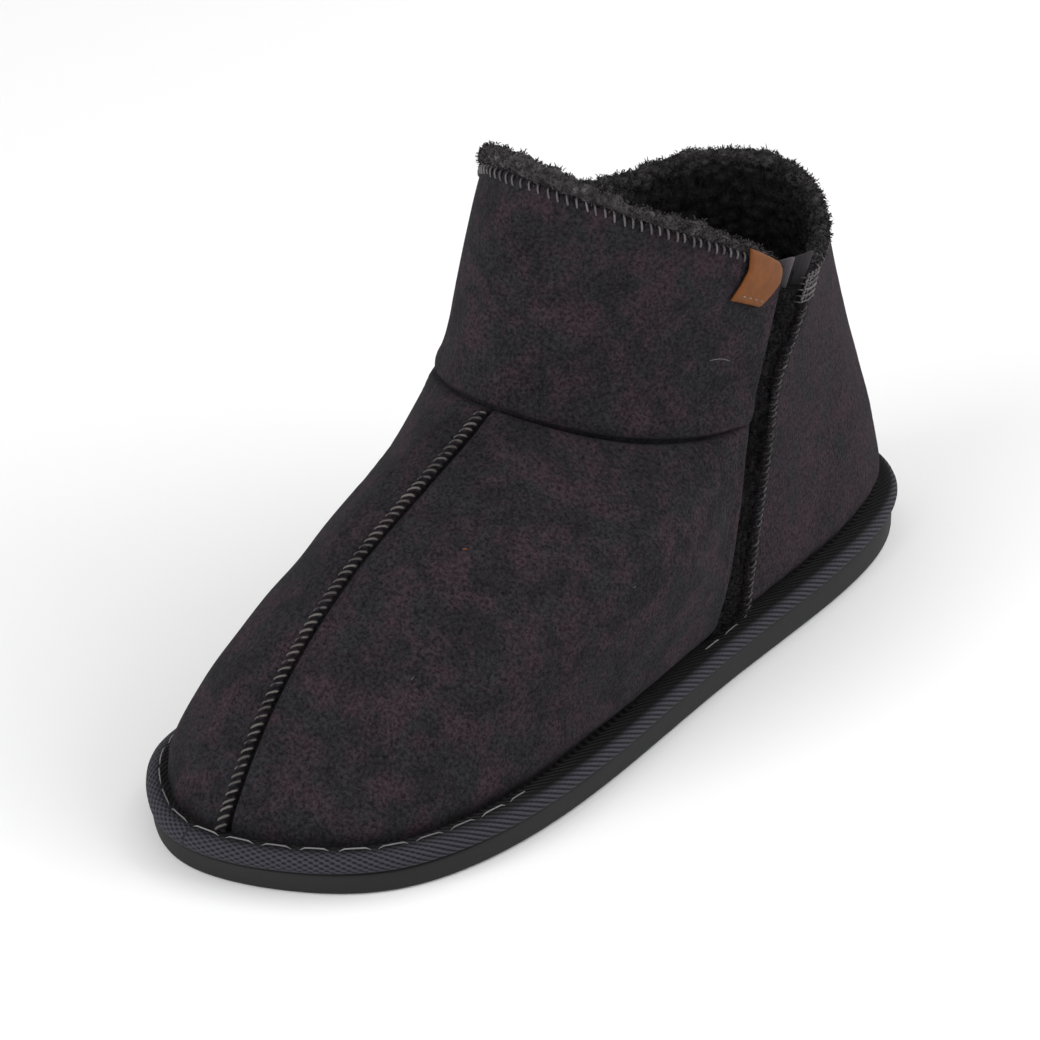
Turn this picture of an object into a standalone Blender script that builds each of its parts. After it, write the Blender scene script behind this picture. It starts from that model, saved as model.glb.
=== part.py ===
import math

import bpy
import numpy as np

# A left bootie slipper. It stands on z = 0 with its toe at -Y and its outer side at +X.
# Sizes in metres.
LENGTH = 0.300
BALL_WIDTH = 0.107
TREAD_TOE = 0.0066
TREAD_HEEL = 0.0112
TREAD_ROUNDING = 0.0014
ARCH_RELIEF = 0.0009
ARCH_BORDER = 0.0090
ARCH_FRONT = 0.47
ARCH_BACK = 0.69
PLATFORM_HEIGHT = 0.0062
BEAD_REACH = 0.0016
FEATHER_INSET = 0.0033
ANKLE_LENGTH = 0.51 * LENGTH
ANKLE_WIDTH = 0.094
INSTEP_HEIGHT = 0.098
COLLAR_LENGTH = 0.4133 * LENGTH
COLLAR_WIDTH = 0.086
COLLAR_HEIGHT = 0.166
SHAFT = COLLAR_HEIGHT - INSTEP_HEIGHT
SLIT_SHAFT = 0.64 * SHAFT
WALL = 0.0032
GAP = 0.0003
INSOLE = 0.0040
SEAM_TOE = -0.003
SEAM_ANKLE = -0.004
SEAM_RISE = 0.0014
SEAM_REACH = 0.0018
FOLD_DEPTH = 0.0009
FOLD_REACH = 0.0016
RECESS = 0.0020
BED = RECESS - 1.5 * GAP
EDGE_RISE = 0.0006
EDGE_REACH = 0.0028
GUSSET = 0.0011
ELASTIC = 0.0014
ELASTIC_DROP = 0.0140
PILE_DEPTH = 0.0064
PILE_FRONT_HEIGHT = 0.0052
PILE_BACK_HEIGHT = 0.0034
TAG_WIDTH = 0.0160
TAG_LENGTH = 0.0122
TAG_SWING = 0.0060
TAG_THICK = 0.0012

# Outline of the outsole: share of the length from the toe, then the reach to the inner
# and to the outer side as shares of the ball width.
OUTLINE = [
    (0.000, -0.107, -0.107),
    (0.035, -0.320, 0.210),
    (0.100, -0.455, 0.400),
    (0.200, -0.484, 0.490),
    (0.320, -0.491, 0.505),
    (0.450, -0.442, 0.474),
    (0.600, -0.383, 0.430),
    (0.750, -0.364, 0.400),
    (0.880, -0.339, 0.345),
    (0.965, -0.218, 0.220),
    (1.000, 0.000, 0.000),
]

# Ankle seam, from the front round the outer side: across as a share of the ankle width,
# along as a share of the ankle length, up as a share of the instep height.
ANKLE_SEAM = [
    (-0.035, -0.170, 1.015),
    (0.200, -0.085, 0.947),
    (0.380, 0.068, 0.875),
    (0.462, 0.238, 0.840),
    (0.412, 0.461, 0.813),
    (0.265, 0.725, 0.820),
    (0.000, 0.838, 0.817),
    (-0.300, 0.724, 0.815),
    (-0.470, 0.466, 0.830),
    (-0.527, 0.219, 0.861),
    (-0.477, 0.012, 0.916),
    (-0.290, -0.117, 0.975),
]

# Top edge of the suede, from the front round the outer side: shares of the collar width,
# length and height.
COLLAR_EDGE = [
    (-0.030, -0.112, 1.012),
    (0.250, -0.026, 0.970),
    (0.450, 0.184, 0.881),
    (0.500, 0.334, 0.812),
    (0.496, 0.453, 0.749),
    (0.460, 0.600, 0.719),
    (0.255, 0.828, 0.723),
    (-0.020, 0.916, 0.752),
    (-0.320, 0.818, 0.745),
    (-0.480, 0.600, 0.725),
    (-0.515, 0.400, 0.777),
    (-0.432, 0.132, 0.881),
    (-0.270, -0.036, 0.978),
]

# Stations where pieces meet: side of the shoe, then the place along it as a share of the
# length from the toe, on the platform, at the ankle seam and at the collar.
SLIT_FRONT = (1, 0.576, 0.629, 0.679)
SLIT_BACK = (1, 0.628, 0.668, 0.732)
INNER_SEAM = (-1, 0.600, 0.640, 0.700)

# Ribs from the platform to the ankle seam, by station: 0 is the centre seam, 1 and 2 the
# slit, 3 the heel and 4 the inner seam. Lean is the tilt of a rib's foot into the shoe and
# drop the dip of its head, in degrees, each followed by the length of its handle.
RIBS = [
    (0.00, 35, 0.067, 21, 0.049),
    (0.33, 25, 0.061, 23, 0.050),
    (0.66, 0, 0.046, 36, 0.042),
    (1.00, -19, 0.026, 97, 0.021),
    (2.00, -6, 0.024, 101, 0.015),
    (3.00, 5, 0.021, 81, 0.023),
    (4.00, 2, 0.021, 72, 0.026),
    (4.33, 24, 0.037, 64, 0.034),
    (4.66, 19, 0.037, 58, 0.042),
]
STATIONS = 5

# Points of the curves through the tables, and how many of them make one on the sole's rings.
RING_POINTS = 1440
RING_STEP = 20

# Levels of the upper's wall below and above the ankle seam, and its columns on the outer
# front, the back and the inner front.
LOW_ROWS = 12
SHAFT_ROWS = 6
OUTER_COLUMNS = 19
BACK_COLUMNS = 19
INNER_COLUMNS = 21

# Section of the tread: share of its height, then reach past the outline as a share of
# the rounding.
TREAD_SECTION = [(0.00, -1.0), (0.06, -0.35), (0.22, 0.0), (0.90, 0.0), (1.00, -0.4)]

# Section of the bound platform: share of its height, then reach past the outline as a
# share of the bead.
BEAD_SECTION = [(0.00, -0.2), (0.14, 0.6), (0.42, 1.0), (0.70, 0.8), (0.90, 0.0), (1.00, -1.5)]

# Section of the fleece roll: reach out as a share of its depth, rise as a share of its
# height.
PILE_SECTION = [
    (-0.04, 0.00),
    (0.08, 0.38),
    (-0.02, 0.80),
    (-0.42, 1.00),
    (-0.88, 0.78),
    (-1.00, 0.33),
    (-0.90, 0.00),
]

# Way of the tag: share of its length, then share of its swing toward the toe.
TAG_SECTION = [(0.00, 0.0), (0.20, 0.0), (0.40, 0.08), (0.70, 0.52), (1.00, 1.0)]
TAG_COLUMNS = 5

# Stretch of the slit that the gusset closes, by rise, under the elastic.
GUSSET_FOOT = 0.01
GUSSET_HEAD = 2 - (ELASTIC_DROP + 2 * GAP) / SLIT_SHAFT
ELASTIC_FOOT = 2 - ELASTIC_DROP / SLIT_SHAFT
FRONT_SECTIONS = 41
BACK_SECTIONS = 29


def closed_spline(keys, values, period, at):
    # A smooth closed curve through values at keys, read at the given places.
    keys = np.asarray(keys, float)
    values = np.asarray(values, float)
    count = len(keys)
    steps = np.append(keys[1:], keys[0] + period) - keys
    slopes = (np.roll(values, -1, 0) - values) / steps[:, None]
    system = np.zeros((count, count))
    for i in range(count):
        system[i, i - 1] += steps[i - 1]
        system[i, i] += 2 * (steps[i - 1] + steps[i])
        system[i, (i + 1) % count] += steps[i]
    bends = np.linalg.solve(system, 6 * (slopes - np.roll(slopes, 1, 0)))
    at = keys[0] + (np.asarray(at, float) - keys[0]) % period
    i = np.clip(np.searchsorted(keys, at, side="right") - 1, 0, count - 1)
    j = (i + 1) % count
    step = steps[i][:, None]
    left = (at - keys[i])[:, None]
    right = step - left
    bend = (bends[i] * right ** 3 + bends[j] * left ** 3) / (6 * step)
    return bend + (values[i] / step - bends[i] * step / 6) * right + (values[j] / step - bends[j] * step / 6) * left


def smooth_ring(points):
    # Many points along the smooth closed curve through a few.
    points = np.asarray(points, float)
    gaps = np.linalg.norm(np.roll(points, -1, 0) - points, axis=1) ** 0.5
    keys = np.append(0, np.cumsum(gaps))
    places = np.linspace(0, keys[-1], RING_POINTS, endpoint=False)
    return closed_spline(keys[:-1], points, keys[-1], places)


def side_of(along):
    # The level direction out of a ring that runs counterclockwise.
    along = along / np.linalg.norm(along[:, :2], axis=1)[:, None]
    return np.stack([along[:, 1], -along[:, 0]], -1)


def offset_ring(ring, reach):
    # The ring moved sideways, outward for a positive reach.
    moved = ring.copy()
    moved[:, :2] += side_of(np.roll(ring, -1, 0) - np.roll(ring, 1, 0)) * reach
    return moved


def tread_top(y):
    return TREAD_TOE + (TREAD_HEEL - TREAD_TOE) * (y / LENGTH + 0.5)


def platform_base(y):
    return tread_top(y) + GAP


def platform_top(y):
    return platform_base(y) + PLATFORM_HEIGHT


def feather_plane(y):
    # The plane that the upper and the insole stand on.
    return platform_top(y) + GAP


def outline_ring():
    outer = [(row[2], row[0]) for row in OUTLINE]
    inner = [(row[1], row[0]) for row in OUTLINE[-2:0:-1]]
    return smooth_ring([(x * BALL_WIDTH, (y - 0.5) * LENGTH) for x, y in outer + inner])


def table_ring(rows, width, length, height):
    return smooth_ring([(x * width, y * length, z * height) for x, y, z in rows])


def arc_lengths(ring):
    return np.append(0, np.cumsum(np.linalg.norm(np.roll(ring, -1, 0) - ring, axis=1)))


def start_at(ring, across):
    # The ring turned to start at its front, where it crosses the centre seam.
    front = np.where(ring[:, 1] < ring[:, 1].mean(), np.abs(ring[:, 0] - across), 1)
    return np.roll(ring, -np.argmin(front), 0)


class Ring:
    # A closed curve read by station and by an added distance along it.
    def __init__(self, points, column):
        self.arcs = arc_lengths(points)
        self.points = np.vstack([points, points[:1]])
        heel = self.arcs[np.argmax(points[:, 1])]
        slit_front, slit_back, inner_seam = [
            self.arc_of(row[0], (row[column] - 0.5) * LENGTH) for row in (SLIT_FRONT, SLIT_BACK, INNER_SEAM)
        ]
        self.marks = [0, slit_front, slit_back, heel, inner_seam, self.arcs[-1]]

    def arc_of(self, side, along):
        on_side = np.sign(self.points[:, 0]) == side
        return self.arcs[np.argmin(np.where(on_side, np.abs(self.points[:, 1] - along), 1))]

    def at(self, station, extra=0.0):
        arc = np.interp(station % STATIONS, range(STATIONS + 1), self.marks) + extra
        arc = arc % self.arcs[-1]
        return np.stack([np.interp(arc, self.arcs, axis) for axis in self.points.T], -1)

    def along_at(self, station, extra=0.0, step=0.002):
        along = self.at(station, extra + step) - self.at(station, extra - step)
        return along / np.linalg.norm(along, axis=1)[:, None]

    def side_at(self, station, extra=0.0):
        return side_of(self.along_at(station, extra))


def foot_ring():
    plan = offset_ring(outline_ring(), -FEATHER_INSET)
    return np.column_stack([plan, feather_plane(plan[:, 1])])


FOOT = Ring(start_at(foot_ring(), SEAM_TOE), 1)
ANKLE = Ring(start_at(table_ring(ANKLE_SEAM, ANKLE_WIDTH, ANKLE_LENGTH, INSTEP_HEIGHT), SEAM_ANKLE), 2)
COLLAR = Ring(start_at(table_ring(COLLAR_EDGE, COLLAR_WIDTH, COLLAR_LENGTH, COLLAR_HEIGHT), SEAM_ANKLE), 3)


def skin(station, rise, extra=0.0):
    # The smooth outer face. Rise runs from 0 at the platform over 1 at the ankle to 2.
    foot = FOOT.at(station, extra)
    ankle = ANKLE.at(station, extra)
    collar = COLLAR.at(station, extra)
    table = np.array(RIBS)
    lean, foot_handle, drop, head_handle = closed_spline(table[:, 0], table[:, 1:], STATIONS, station).T
    lean = np.radians(lean)
    drop = np.radians(drop)
    into = -FOOT.side_at(station, extra) * (np.sin(lean) * foot_handle)[:, None]
    out = ANKLE.side_at(station, extra) * (np.cos(drop) * head_handle)[:, None]
    first = foot + np.column_stack([into, np.cos(lean) * foot_handle])
    second = ankle + np.column_stack([out, -np.sin(drop) * head_handle])
    t = np.clip(rise, 0, 1)[:, None]
    low = (1 - t) ** 3 * foot + 3 * (1 - t) ** 2 * t * first + 3 * (1 - t) * t ** 2 * second + t ** 3 * ankle
    return low + (collar - ankle) * np.clip(rise - 1, 0, 1)[:, None]


def face_out(station, rise, extra=0.0, step=0.002, rise_step=0.03):
    # The direction out of the skin.
    along = skin(station, rise, extra + step) - skin(station, rise, extra - step)
    up = skin(station, np.minimum(rise + rise_step, 2), extra) - skin(station, np.maximum(rise - rise_step, 0), extra)
    out = np.cross(along, up)
    return out / np.linalg.norm(out, axis=1)[:, None]


def raised(station, rise, lift, extra=0.0):
    # A point over the skin by lift, or under it for a negative lift.
    station, rise, lift, extra = np.broadcast_arrays(
        np.asarray(station, float), np.asarray(rise, float), np.asarray(lift, float), np.asarray(extra, float)
    )
    return skin(station, rise, extra) + face_out(station, rise, extra) * lift[:, None]


def upper_columns():
    # One row for each column: station, extra distance, lift below and above the ankle
    # seam, and 1 where the fold of the ankle seam crosses it.
    columns = [(0, 0, SEAM_RISE, 0, 1), (0, SEAM_REACH / 2, SEAM_RISE * 0.75, 0, 1), (0, SEAM_REACH, 0, 0, 1)]
    columns += [(place, 0, 0, 0, 1) for place in np.linspace(0, 1, OUTER_COLUMNS + 1)[1:-1]]
    columns += [(1, -GAP, 0, 0, 1), (1, GAP, -RECESS, -RECESS, 0)]
    columns += [(1.5, 0, -RECESS, -RECESS, 0)]
    columns += [(2, -GAP, -RECESS, -RECESS, 0), (2, GAP, EDGE_RISE, EDGE_RISE, 0)]
    columns += [(2, EDGE_REACH, EDGE_RISE, EDGE_RISE, 0), (2, EDGE_REACH + EDGE_RISE, 0, 0, 0)]
    columns += [(place, 0, 0, 0, 0) for place in np.linspace(2, 4, BACK_COLUMNS + 1)[1:-1]]
    columns += [(4, -FOLD_REACH, 0, 0, 0), (4, 0, -FOLD_DEPTH, -FOLD_DEPTH, 0), (4, FOLD_REACH, 0, 0, 1)]
    columns += [(place, 0, 0, 0, 1) for place in np.linspace(4, 5, INNER_COLUMNS + 1)[1:-1]]
    columns += [(5, -SEAM_REACH, 0, 0, 1), (5, -SEAM_REACH / 2, SEAM_RISE * 0.75, 0, 1)]
    return np.array(columns, float)


def upper_rows():
    # One row for each level: rise, then how deep the fold of the ankle seam is there.
    fold_up = FOLD_REACH / SHAFT
    fold_down = FOLD_REACH / INSTEP_HEIGHT
    rows = [(rise, 0) for rise in np.linspace(0, 1, LOW_ROWS + 1)[:-1]]
    rows += [(1 - fold_down, 0), (1, 1), (1 + fold_up, 0)]
    rows += [(rise, 0) for rise in np.linspace(1, 2, SHAFT_ROWS + 1)[1:]]
    return rows


def inner_face(station, rise, extra=0.0):
    # The inner face of the upper's wall, flat where it stands on the platform.
    face = raised(station, rise, -WALL, extra)
    face[:, 2] = np.where(np.broadcast_to(rise, len(face)) == 0, feather_plane(face[:, 1]), face[:, 2])
    return face


def inside_at(station, extra, height, inset):
    # The inner face at a height over the feather plane, moved into the shoe.
    rises = np.linspace(0, 0.3, 31)
    levels = np.array([inner_face(station, rise, extra) for rise in rises])
    heights = levels[:, :, 2] - feather_plane(levels[:, :, 1])
    x = [np.interp(height, heights[:, i], levels[:, i, 0]) for i in range(len(station))]
    y = [np.interp(height, heights[:, i], levels[:, i, 1]) for i in range(len(station))]
    ring = offset_ring(np.column_stack([x, y]), -inset)
    return np.column_stack([ring, feather_plane(ring[:, 1]) + height])


def bead_ring(reach):
    return offset_ring(outline_ring(), reach)[::RING_STEP]


MIDDLE = (bead_ring(BEAD_REACH).max(0) + bead_ring(BEAD_REACH).min(0)) / 2


def closed_loft(sections):
    # Faces between sections of equal length that are closed curves, with both ends capped.
    count = len(sections[0])
    points = [tuple(point) for section in sections for point in section]
    faces = [tuple(range(count))[::-1], tuple(range(count * (len(sections) - 1), count * len(sections)))]
    for level in range(len(sections) - 1):
        for i in range(count):
            j = (i + 1) % count
            low = level * count
            high = low + count
            faces.append((low + i, low + j, high + j, high + i))
    return points, faces


def closed_shell(outer, inner):
    # Faces of a wall between two grids of rings, joined along the first and last rings.
    rings = list(outer) + list(inner)[::-1]
    count = len(rings[0])
    points = [tuple(point) for ring in rings for point in ring]
    faces = []
    for level in range(len(rings)):
        low = level * count
        high = (level + 1) % len(rings) * count
        for i in range(count):
            j = (i + 1) % count
            faces.append((low + i, low + j, high + j, high + i))
    return points, faces


def add_piece(name, shape, material, collection, sharp=40):
    points, faces = shape
    mesh = bpy.data.meshes.new(name)
    mesh.from_pydata([(x - MIDDLE[0], y - MIDDLE[1], z) for x, y, z in points], [], faces)
    mesh.materials.append(material)
    mesh.shade_smooth()
    mesh.set_sharp_from_angle(angle=math.radians(sharp))
    piece = bpy.data.objects.new(name, mesh)
    collection.objects.link(piece)
    return piece


def add_material(name, color, roughness):
    material = bpy.data.materials.new(name)
    material.use_nodes = True
    surface = material.node_tree.nodes["Principled BSDF"]
    surface.inputs["Base Color"].default_value = (*color, 1)
    surface.inputs["Roughness"].default_value = roughness
    surface.inputs["Metallic"].default_value = 0
    return material


def outsole_shape():
    sections = []
    for share, reach in TREAD_SECTION:
        ring = bead_ring(reach * TREAD_ROUNDING)
        sections.append(np.column_stack([ring, share * tread_top(ring[:, 1])]))
    return closed_loft(sections)


def arch_shape():
    # The shallow hollow under the arch, between the heel's flat and the forefoot's.
    ring = bead_ring(-ARCH_BORDER)
    along = ring[:, 1] / LENGTH + 0.5
    ring = ring[(along > ARCH_FRONT) & (along < ARCH_BACK)]
    return closed_loft([np.column_stack([ring, np.full(len(ring), z)]) for z in (-ARCH_RELIEF, ARCH_RELIEF)])


def platform_shape():
    sections = []
    for share, reach in BEAD_SECTION:
        ring = bead_ring(reach * BEAD_REACH)
        sections.append(np.column_stack([ring, platform_base(ring[:, 1]) + share * PLATFORM_HEIGHT]))
    return closed_loft(sections)


def upper_shape():
    station, extra, lift_low, lift_high, folded = upper_columns().T
    outer = []
    inner = []
    for rise, fold in upper_rows():
        lift = np.where(rise < 1, lift_low, lift_high) - fold * folded * FOLD_DEPTH
        ring = raised(station, rise, lift, extra)
        if rise == 0:
            ring[:, 2] = feather_plane(ring[:, 1])
        outer.append(ring)
        inner.append(inner_face(station, rise, extra))
    return closed_shell(outer, inner)


def insole_shape():
    station, extra = upper_columns()[::2, :2].T
    heights = [(0.0, GAP), (INSOLE * 0.7, GAP), (INSOLE, GAP * 3)]
    return closed_loft([inside_at(station, extra, height, inset) for height, inset in heights])


def strip_shape(start, end, under, over):
    # A strip in the slit's recess, between two rises and two depths under the skin.
    edge = 3 * GAP
    station = np.array([1, 1.5, 2])
    extra = np.array([edge, 0, -edge])
    between = [rise for rise, fold in upper_rows() if start < rise < end]
    sections = []
    for rise in [start] + between + [end]:
        top = raised(station, rise, -over, extra)
        bottom = raised(station, rise, -under, extra)
        sections.append(np.vstack([top, bottom[::-1]]))
    return closed_loft(sections)


def pile_shape(start, end, count, height):
    # A roll of fleece along the suede's top edge, between two stations.
    sections = []
    for place in np.linspace(start, end, count):
        station = np.array([place])
        trim = GAP * (1 if place == start else -1 if place == end else 0)
        base = COLLAR.at(station, trim)[0]
        along = COLLAR.along_at(station, trim)[0]
        out = np.append(COLLAR.side_at(station, trim)[0], 0)
        up = np.cross(out, along)
        foot = base + up * 1.5 * GAP
        section = [foot + out * reach * PILE_DEPTH + up * rise * height for reach, rise in PILE_SECTION[::-1]]
        sections.append(np.array(section))
    return closed_loft(sections)


def tag_shape():
    # A leather tag that hangs from the collar's edge in front of the slit and swings
    # forward below its bend.
    sections = []
    for share, swing in TAG_SECTION:
        place = np.linspace(-1, 0, TAG_COLUMNS) * TAG_WIDTH - swing * TAG_SWING - GAP * 2
        rise = np.full(TAG_COLUMNS, 2 - share * TAG_LENGTH / SLIT_SHAFT)
        inner = raised(np.ones(TAG_COLUMNS), rise, GAP * 2, place)
        outer = raised(np.ones(TAG_COLUMNS), rise, GAP * 2 + TAG_THICK, place)
        sections.append(np.vstack([outer, inner[::-1]])[::-1])
    return closed_loft(sections)


def cut(piece, cutter):
    cutter.hide_render = True
    cutter.display_type = "WIRE"
    hollow = piece.modifiers.new("hollow", "BOOLEAN")
    hollow.operation = "DIFFERENCE"
    hollow.solver = "EXACT"
    hollow.object = cutter


for old in list(bpy.data.objects):
    bpy.data.objects.remove(old, do_unlink=True)

slipper = bpy.data.collections.new("bootie_slipper")
cutters = bpy.data.collections.new("cutters")
bpy.context.scene.collection.children.link(slipper)
bpy.context.scene.collection.children.link(cutters)

suede = add_material("suede", (0.030, 0.027, 0.032), 0.95)
fleece = add_material("fleece", (0.050, 0.045, 0.045), 1.0)
rubber = add_material("rubber", (0.035, 0.035, 0.037), 0.7)
twill = add_material("twill", (0.045, 0.048, 0.056), 0.85)
ribbon = add_material("ribbon", (0.070, 0.058, 0.066), 0.7)
leather = add_material("leather", (0.400, 0.170, 0.070), 0.6)

outsole = add_piece("outsole", outsole_shape(), rubber, slipper)
cut(outsole, add_piece("arch_cutter", arch_shape(), rubber, cutters))
add_piece("platform", platform_shape(), twill, slipper)
add_piece("insole", insole_shape(), fleece, slipper)
add_piece("upper", upper_shape(), suede, slipper)
add_piece("side_gusset", strip_shape(GUSSET_FOOT, GUSSET_HEAD, BED, BED - GUSSET), fleece, slipper)
add_piece("elastic", strip_shape(ELASTIC_FOOT, 2, BED, BED - ELASTIC), ribbon, slipper)
add_piece("collar_front", pile_shape(4, 6, FRONT_SECTIONS, PILE_FRONT_HEIGHT), fleece, slipper)
add_piece("collar_back", pile_shape(2, 4, BACK_SECTIONS, PILE_BACK_HEIGHT), fleece, slipper)
add_piece("side_tag", tag_shape(), leather, slipper)
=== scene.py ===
import itertools
import math
import bpy
import numpy as np
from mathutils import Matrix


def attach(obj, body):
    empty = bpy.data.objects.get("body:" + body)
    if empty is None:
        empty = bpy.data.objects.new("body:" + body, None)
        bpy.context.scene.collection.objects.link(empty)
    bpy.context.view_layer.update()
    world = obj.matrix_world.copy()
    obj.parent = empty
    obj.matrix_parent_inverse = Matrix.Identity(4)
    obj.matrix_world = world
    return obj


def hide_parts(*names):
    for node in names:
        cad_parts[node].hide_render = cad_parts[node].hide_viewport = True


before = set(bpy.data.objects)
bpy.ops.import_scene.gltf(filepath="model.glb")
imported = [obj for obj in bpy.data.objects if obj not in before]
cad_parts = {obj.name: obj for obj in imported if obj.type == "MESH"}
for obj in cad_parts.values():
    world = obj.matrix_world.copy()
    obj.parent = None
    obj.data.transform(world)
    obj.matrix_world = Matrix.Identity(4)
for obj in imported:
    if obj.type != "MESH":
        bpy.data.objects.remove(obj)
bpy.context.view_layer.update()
rng = np.random.default_rng(7)
print("frame loaded", sorted(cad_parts))


# The last. Sizes in metres, as in the solids.
last = {
    "length": 0.300,
    "ballWidth": 0.107,
    "treadToe": 0.0066,
    "treadHeel": 0.0112,
    "platformHeight": 0.0062,
    "beadReach": 0.0016,
    "gap": 0.0003,
    "featherInset": 0.0033,
    "ankleLength": 0.153,
    "ankleWidth": 0.094,
    "instepHeight": 0.098,
    "collarLength": 0.124,
    "collarWidth": 0.086,
    "collarHeight": 0.166,
    "slitShaft": 0.0435,
    "seamToe": -0.003,
    "seamAnkle": -0.004,
    # share of the length from the toe, reach to the inner and outer side in ball widths
    "outline": [
        (0.000, -0.107, -0.107),
        (0.035, -0.320, 0.210),
        (0.100, -0.455, 0.400),
        (0.200, -0.484, 0.490),
        (0.320, -0.491, 0.505),
        (0.450, -0.442, 0.474),
        (0.600, -0.383, 0.430),
        (0.750, -0.364, 0.400),
        (0.880, -0.339, 0.345),
        (0.965, -0.218, 0.220),
        (1.000, 0.000, 0.000),
    ],
    # from the front round the outer side: shares of the ankle's width, length and height
    "ankle": [
        (-0.035, -0.170, 1.015),
        (0.200, -0.085, 0.947),
        (0.380, 0.068, 0.875),
        (0.462, 0.238, 0.840),
        (0.412, 0.461, 0.813),
        (0.265, 0.725, 0.820),
        (0.000, 0.838, 0.817),
        (-0.300, 0.724, 0.815),
        (-0.470, 0.466, 0.830),
        (-0.527, 0.219, 0.861),
        (-0.477, 0.012, 0.916),
        (-0.290, -0.117, 0.975),
    ],
    # from the front round the outer side: shares of the collar's width, length and height
    "collar": [
        (-0.030, -0.112, 1.012),
        (0.250, -0.026, 0.970),
        (0.450, 0.184, 0.881),
        (0.500, 0.334, 0.812),
        (0.496, 0.453, 0.749),
        (0.460, 0.600, 0.719),
        (0.255, 0.828, 0.723),
        (-0.020, 0.916, 0.752),
        (-0.320, 0.818, 0.745),
        (-0.480, 0.600, 0.725),
        (-0.515, 0.400, 0.777),
        (-0.432, 0.132, 0.881),
        (-0.270, -0.036, 0.978),
    ],
    # side, then the place on the platform, at the ankle and at the collar
    "stations": [(1, 0.576, 0.629, 0.679), (1, 0.628, 0.668, 0.732), (-1, 0.600, 0.640, 0.700)],
    # station, lean and length of the foot handle, drop and length of the head handle
    "ribs": [
        (0.00, 35, 0.067, 21, 0.049),
        (0.33, 25, 0.061, 23, 0.050),
        (0.66, 0, 0.046, 36, 0.042),
        (1.00, -19, 0.026, 97, 0.021),
        (2.00, -6, 0.024, 101, 0.015),
        (3.00, 5, 0.021, 81, 0.023),
        (4.00, 2, 0.021, 72, 0.026),
        (4.33, 24, 0.037, 64, 0.034),
        (4.66, 19, 0.037, 58, 0.042),
    ],
}


def closedSpline(keys, values, period, at):
    keys = np.asarray(keys, float)
    values = np.asarray(values, float)
    count = len(keys)
    steps = np.append(keys[1:], keys[0] + period) - keys
    slopes = (np.roll(values, -1, 0) - values) / steps[:, None]
    system = np.zeros((count, count))
    for i in range(count):
        system[i, i - 1] += steps[i - 1]
        system[i, i] += 2 * (steps[i - 1] + steps[i])
        system[i, (i + 1) % count] += steps[i]
    bends = np.linalg.solve(system, 6 * (slopes - np.roll(slopes, 1, 0)))
    at = keys[0] + (np.asarray(at, float) - keys[0]) % period
    i = np.clip(np.searchsorted(keys, at, side="right") - 1, 0, count - 1)
    j = (i + 1) % count
    step = steps[i][:, None]
    left = (at - keys[i])[:, None]
    right = step - left
    bend = (bends[i] * right ** 3 + bends[j] * left ** 3) / (6 * step)
    fromLeft = (values[i] / step - bends[i] * step / 6) * right
    fromRight = (values[j] / step - bends[j] * step / 6) * left
    return bend + fromLeft + fromRight


def smoothRing(points, count=2880):
    points = np.asarray(points, float)
    gaps = np.linalg.norm(np.roll(points, -1, 0) - points, axis=1) ** 0.5
    keys = np.append(0, np.cumsum(gaps))
    return closedSpline(keys[:-1], points, keys[-1], np.linspace(0, keys[-1], count, endpoint=False))


def sideOf(along):
    along = along / np.linalg.norm(along[..., :2], axis=-1)[..., None]
    return np.stack([along[..., 1], -along[..., 0]], -1)


def offsetRing(ring, reach):
    moved = ring.copy()
    moved[:, :2] += sideOf(np.roll(ring, -1, 0) - np.roll(ring, 1, 0)) * reach
    return moved


def arcLengths(ring):
    return np.append(0, np.cumsum(np.linalg.norm(np.roll(ring, -1, 0) - ring, axis=1)))


def treadTop(y):
    return last["treadToe"] + (last["treadHeel"] - last["treadToe"]) * (y / last["length"] + 0.5)


def platformBase(y):
    return treadTop(y) + last["gap"]


def featherPlane(y):
    return platformBase(y) + last["platformHeight"] + last["gap"]


def outlineRing():
    outer = [(row[2], row[0]) for row in last["outline"]]
    inner = [(row[1], row[0]) for row in last["outline"][-2:0:-1]]
    return smoothRing([(x * last["ballWidth"], (y - 0.5) * last["length"]) for x, y in outer + inner])


def tableRing(name, width, length, height):
    return smoothRing([(x * last[width], y * last[length], z * last[height]) for x, y, z in last[name]])


def makeRing(points, across, column):
    front = np.where(points[:, 1] < points[:, 1].mean(), np.abs(points[:, 0] - across), 1)
    points = np.roll(points, -np.argmin(front), 0)
    arcs = arcLengths(points)
    points = np.vstack([points, points[:1]])
    marks = []
    for row in last["stations"]:
        onSide = np.sign(points[:, 0]) == row[0]
        away = np.abs(points[:, 1] - (row[column] - 0.5) * last["length"])
        marks.append(arcs[np.argmin(np.where(onSide, away, 1))])
    heel = arcs[np.argmax(points[:, 1])]
    points[:, :2] -= middle
    return {"points": points, "arcs": arcs, "marks": [0, marks[0], marks[1], heel, marks[2], arcs[-1]]}


def ringAt(ring, station, extra=0.0):
    arc = (np.interp(station % 5, range(6), ring["marks"]) + extra) % ring["arcs"][-1]
    return np.stack([np.interp(arc, ring["arcs"], axis) for axis in ring["points"].T], -1)


def alongAt(ring, station, extra=0.0):
    along = ringAt(ring, station, extra + 0.002) - ringAt(ring, station, extra - 0.002)
    return along / np.linalg.norm(along, axis=-1)[..., None]


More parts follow.
